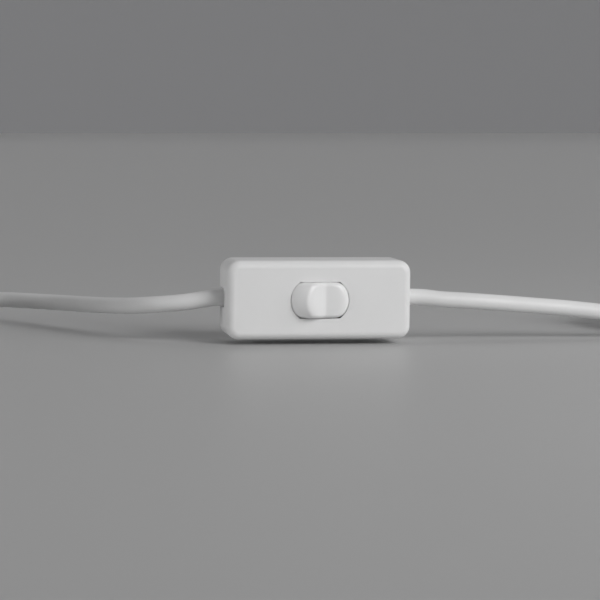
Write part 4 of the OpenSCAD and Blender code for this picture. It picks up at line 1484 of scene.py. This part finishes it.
@dataclass
class Plug:
    """The mains plug with its ribbed strain relief and its grip ridges."""

    place: Point = (-153.2, 58.0, 19.2)
    body_l: float = 31.0
    neck_half_w: float = 6.6
    shoulder: float = 9.0
    shoulder_half_w: float = 15.0
    cheek: float = 15.0
    half_w: float = 17.0
    half_t: float = 6.5
    corner_r: float = 2.6
    least_flat: float = 0.5
    face_r: float = 1.3
    plan_ease: float = 2.2
    ease_taps: int = 9
    sections: int = 40
    corner_steps: int = 8
    face_steps: int = 6
    body_sharp: float = 80.0
    relief_l: float = 22.0
    relief_small_r: float = 3.4
    relief_big_r: float = 5.2
    core_small_in: float = 0.45
    core_big_in: float = 0.7
    core_rows: int = 8
    relief_sides: int = 48
    relief_edge: float = 0.12
    relief_sharp: float = 55.0
    ribs: int = 7
    rib_w: float = 1.8
    rib_t: float = 1.3
    rib_edge: float = 0.4
    rib_edge_steps: int = 4
    rib_from: float = 1.4
    ridges: int = 6
    ridge_r: float = 0.75
    ridge_sunk: float = 0.3
    ridge_stretch: Point = (1.0, 5.6, 1.0)
    ridge_step: float = 2.2
    ridge_from: float = 38.5
    ridge_sides: int = 16
    ridge_rings: int = 12

    def build(self) -> list[Thing]:
        """Builds the plug.

        Returns:
            The pieces that lie on the cord.
        """
        body = dress(self._body(), MOULDED_PVC, "plug_body")
        relief = dress(self._relief(), MOULDED_PVC, "plug_strain_relief")
        grip = dress(self._grip(), MOULDED_PVC)
        paint("plug_pins", NICKEL_PLATE)
        paint("plug_pin_sleeves", BLACK_PBT)
        nodes = frame["nodes"]
        return [body, relief, grip, nodes["plug_pins"], nodes["plug_pin_sleeves"]]

    def _lay(self, piece: Thing) -> Thing:
        """Turns a piece made upwards from the cord to the plug's axis.

        Args:
            piece: A plain mesh.

        Returns:
            The piece.
        """
        turn = Matrix.Rotation(QUARTER, 4, "X")
        piece.data.transform(Matrix.Translation(Vector(self.place) * MM) @ turn)
        return piece

    def _half_sizes(self, along: float) -> tuple[float, float]:
        """Gives the body's half width and half thickness at a distance from its neck.

        The plan's corners are eased over a few millimetres, and both ends are rounded.

        Args:
            along: Distance from the neck in millimetres.

        Returns:
            Half width and half thickness in millimetres.
        """
        knots = (
            (0.0, self.neck_half_w, self.relief_big_r),
            (self.shoulder, self.shoulder_half_w, self.half_t),
            (self.cheek, self.half_w, self.half_t),
            (self.body_l, self.half_w, self.half_t),
        )
        wide = thick = 0.0
        for tap in range(self.ease_taps):
            at = along + self.plan_ease * (2 * tap / (self.ease_taps - 1) - 1)
            at = min(max(at, 0.0), self.body_l)
            (a, wide_a, thick_a), (b, wide_b, thick_b) = next(
                pair for pair in zip(knots, knots[1:]) if at <= pair[1][0]
            )
            share = (at - a) / (b - a)
            wide += (wide_a + (wide_b - wide_a) * share) / self.ease_taps
            thick += (thick_a + (thick_b - thick_a) * share) / self.ease_taps
        near_end = max(self.face_r - min(along, self.body_l - along), 0.0)
        inset = self.face_r - math.sqrt(max(self.face_r ** 2 - near_end ** 2, 0.0))
        return wide - inset, thick - inset

    def _body(self) -> Thing:
        """Lofts the body through rounded rectangles.

        Returns:
            The body as a closed mesh.
        """
        round_ends = [
            self.face_r * (1 - math.cos(QUARTER * i / self.face_steps))
            for i in range(self.face_steps + 1)
        ]
        inner = self.body_l - 2 * self.face_r
        stations = (
            round_ends
            + [self.face_r + inner * i / self.sections for i in range(1, self.sections)]
            + [self.body_l - x for x in reversed(round_ends)]
        )
        loops = []
        for along in stations:
            wide, thick = self._half_sizes(along)
            radius = min(self.corner_r, thick - self.least_flat)
            loop = []
            for quarter, (sx, sy) in enumerate(((1, 1), (-1, 1), (-1, -1), (1, -1))):
                for k in range(self.corner_steps + 1):
                    turn = QUARTER * (quarter + k / self.corner_steps)
                    loop.append((
                        sx * (wide - radius) + radius * math.cos(turn),
                        sy * (thick - radius) + radius * math.sin(turn),
                        self.relief_l + along,
                    ))
            loops.append(loop)
        return self._lay(smooth_edges(loft("plug_housing", loops), 0.0, self.body_sharp))

    def _relief(self) -> Thing:
        """Grows the tapered relief with its ribs.

        Returns:
            The relief as one piece.
        """
        step = (self.relief_l - 2 * self.rib_from) / (self.ribs - 1)
        slope = (self.relief_big_r - self.relief_small_r) / self.relief_l
        first = self.relief_small_r + slope * self.rib_from
        last = self.relief_big_r - slope * self.rib_from
        sizes: Sizes = {
            "Length": self.relief_l * MM,
            "Small radius": (self.relief_small_r - self.core_small_in) * MM,
            "Big radius": (self.relief_big_r - self.core_big_in) * MM, "Ribs": self.ribs,
            "Rib width": self.rib_w * MM, "Rib thickness": self.rib_t * MM,
            "Rib radius": (last - self.rib_t / 2) * MM, "Rib edge": self.rib_edge * MM,
            "First rib": metres((0, 0, self.rib_from)), "Rib step": metres((0, 0, step)),
            "First scale": first / last, "Last rib": float(self.ribs - 1),
        }
        made = grow("plug_ribbed_relief", [(0.0, 0.0, 0.0)], sizes, MOULDED_PVC, self._ribs)
        return self._lay(smooth_edges(made, self.relief_edge, self.relief_sharp))

    def _ribs(self, add: Add, given: Any) -> Socket:
        """Adds the nodes of a tapered core with ribs whose radius follows the taper.

        Args:
            add: Adds a node to the tree.
            given: The group's inputs.

        Returns:
            The core and the ribs.
        """
        core = add(
            "GeometryNodeMeshCone",
            {"Vertices": self.relief_sides, "Side Segments": self.core_rows,
             "Radius Top": given["Big radius"], "Radius Bottom": given["Small radius"],
             "Depth": given["Length"]},
        )
        ring = add(
            "GeometryNodeCurvePrimitiveCircle",
            {"Resolution": self.relief_sides, "Radius": given["Rib radius"]},
        )
        upright = add("GeometryNodeSetCurveNormal", {"Curve": ring}, mode="Z_UP")
        soft = rounded(
            add, given["Rib thickness"], given["Rib width"], given["Rib edge"], self.rib_edge_steps
        )
        rib = add("GeometryNodeCurveToMesh", {"Curve": upright, "Profile Curve": soft})
        taper = add(
            "ShaderNodeMapRange",
            {"Value": add("GeometryNodeInputIndex"), "From Min": 0.0, "From Max": given["Last rib"],
             "To Min": given["First scale"], "To Max": 1.0},
        )
        scale = add("ShaderNodeCombineXYZ", {"X": taper, "Y": taper, "Z": 1.0})
        row = add(
            "GeometryNodeMeshLine",
            {"Count": given["Ribs"], "Start Location": given["First rib"],
             "Offset": given["Rib step"]},
        )
        ribs = add(
            "GeometryNodeInstanceOnPoints", {"Points": row, "Instance": rib, "Scale": scale}
        )
        return add("GeometryNodeJoinGeometry", {"Geometry": [core, ribs]})

    def _grip(self) -> Thing:
        """Grows the ridges on the plug's two narrow sides.

        Returns:
            The ridges as one piece.
        """
        places = [
            (side * (self.half_w - self.ridge_sunk), 0.0, self.ridge_from + i * self.ridge_step)
            for side in (-1, 1) for i in range(self.ridges)
        ]
        sizes: Sizes = {"Ridge radius": self.ridge_r * MM, "Stretch": self.ridge_stretch}
        made = grow("plug_grip_ridges", places, sizes, MOULDED_PVC, self._ridges)
        made.data.shade_smooth()
        return self._lay(made)

    def _ridges(self, add: Add, given: Any) -> Socket:
        """Adds the nodes that put a long rounded ridge on each place.

        Args:
            add: Adds a node to the tree.
            given: The group's inputs.

        Returns:
            The ridges as instances.
        """
        bead = add(
            "GeometryNodeMeshUVSphere",
            {"Segments": self.ridge_sides, "Rings": self.ridge_rings,
             "Radius": given["Ridge radius"]},
        )
        return add(
            "GeometryNodeInstanceOnPoints",
            {"Points": given["Geometry"], "Instance": bead, "Scale": given["Stretch"]},
        )


@dataclass
class LampEnd:
    """The bare end that goes into the lamp: two cores in ferrules."""

    core_l: float = 12.0
    apart: float = 1.1
    spread: float = 3.0
    ferrule_z: float = 1.6

    def build(self, end: Point) -> list[Thing]:
        """Builds the lamp end.

        Args:
            end: The point where the sheath ends.

        Returns:
            The pieces that lie on the cord.
        """
        pieces = []
        for side, core, finish in ((-1, "live", BROWN_PVC), (1, "neutral", BLUE_PVC)):
            start = (end[0] + side * self.apart, end[1], end[2])
            far = (end[0] + side * self.spread, end[1] + self.core_l, self.ferrule_z)
            pieces.append(lay_core("tail", core, eased_line(start, far, 1), finish))
        paint("tail_ferrules", TIN_PLATE)
        return [*pieces, frame["nodes"]["tail_ferrules"]]


def main() -> None:
    """Builds the sub-assemblies in order."""
    logging.basicConfig(level=logging.INFO, format="%(name)s %(message)s")
    Studio().build()
    lead = Lead()
    lead.build()
    Housing().build()
    RockerSwitch().build()
    Contacts().build()
    CordEntries().build()
    plug = Plug().build()
    lamp_end = LampEnd().build(lead.tail()[-1])
    plug.append(CoilTie("plug_coil_strap", lead.plug_coil).build("left_coil_tie"))
    lamp_end.append(CoilTie("lamp_coil_strap", lead.lamp_coil).build("right_coil_tie"))


if __name__ == "__main__":
    main()
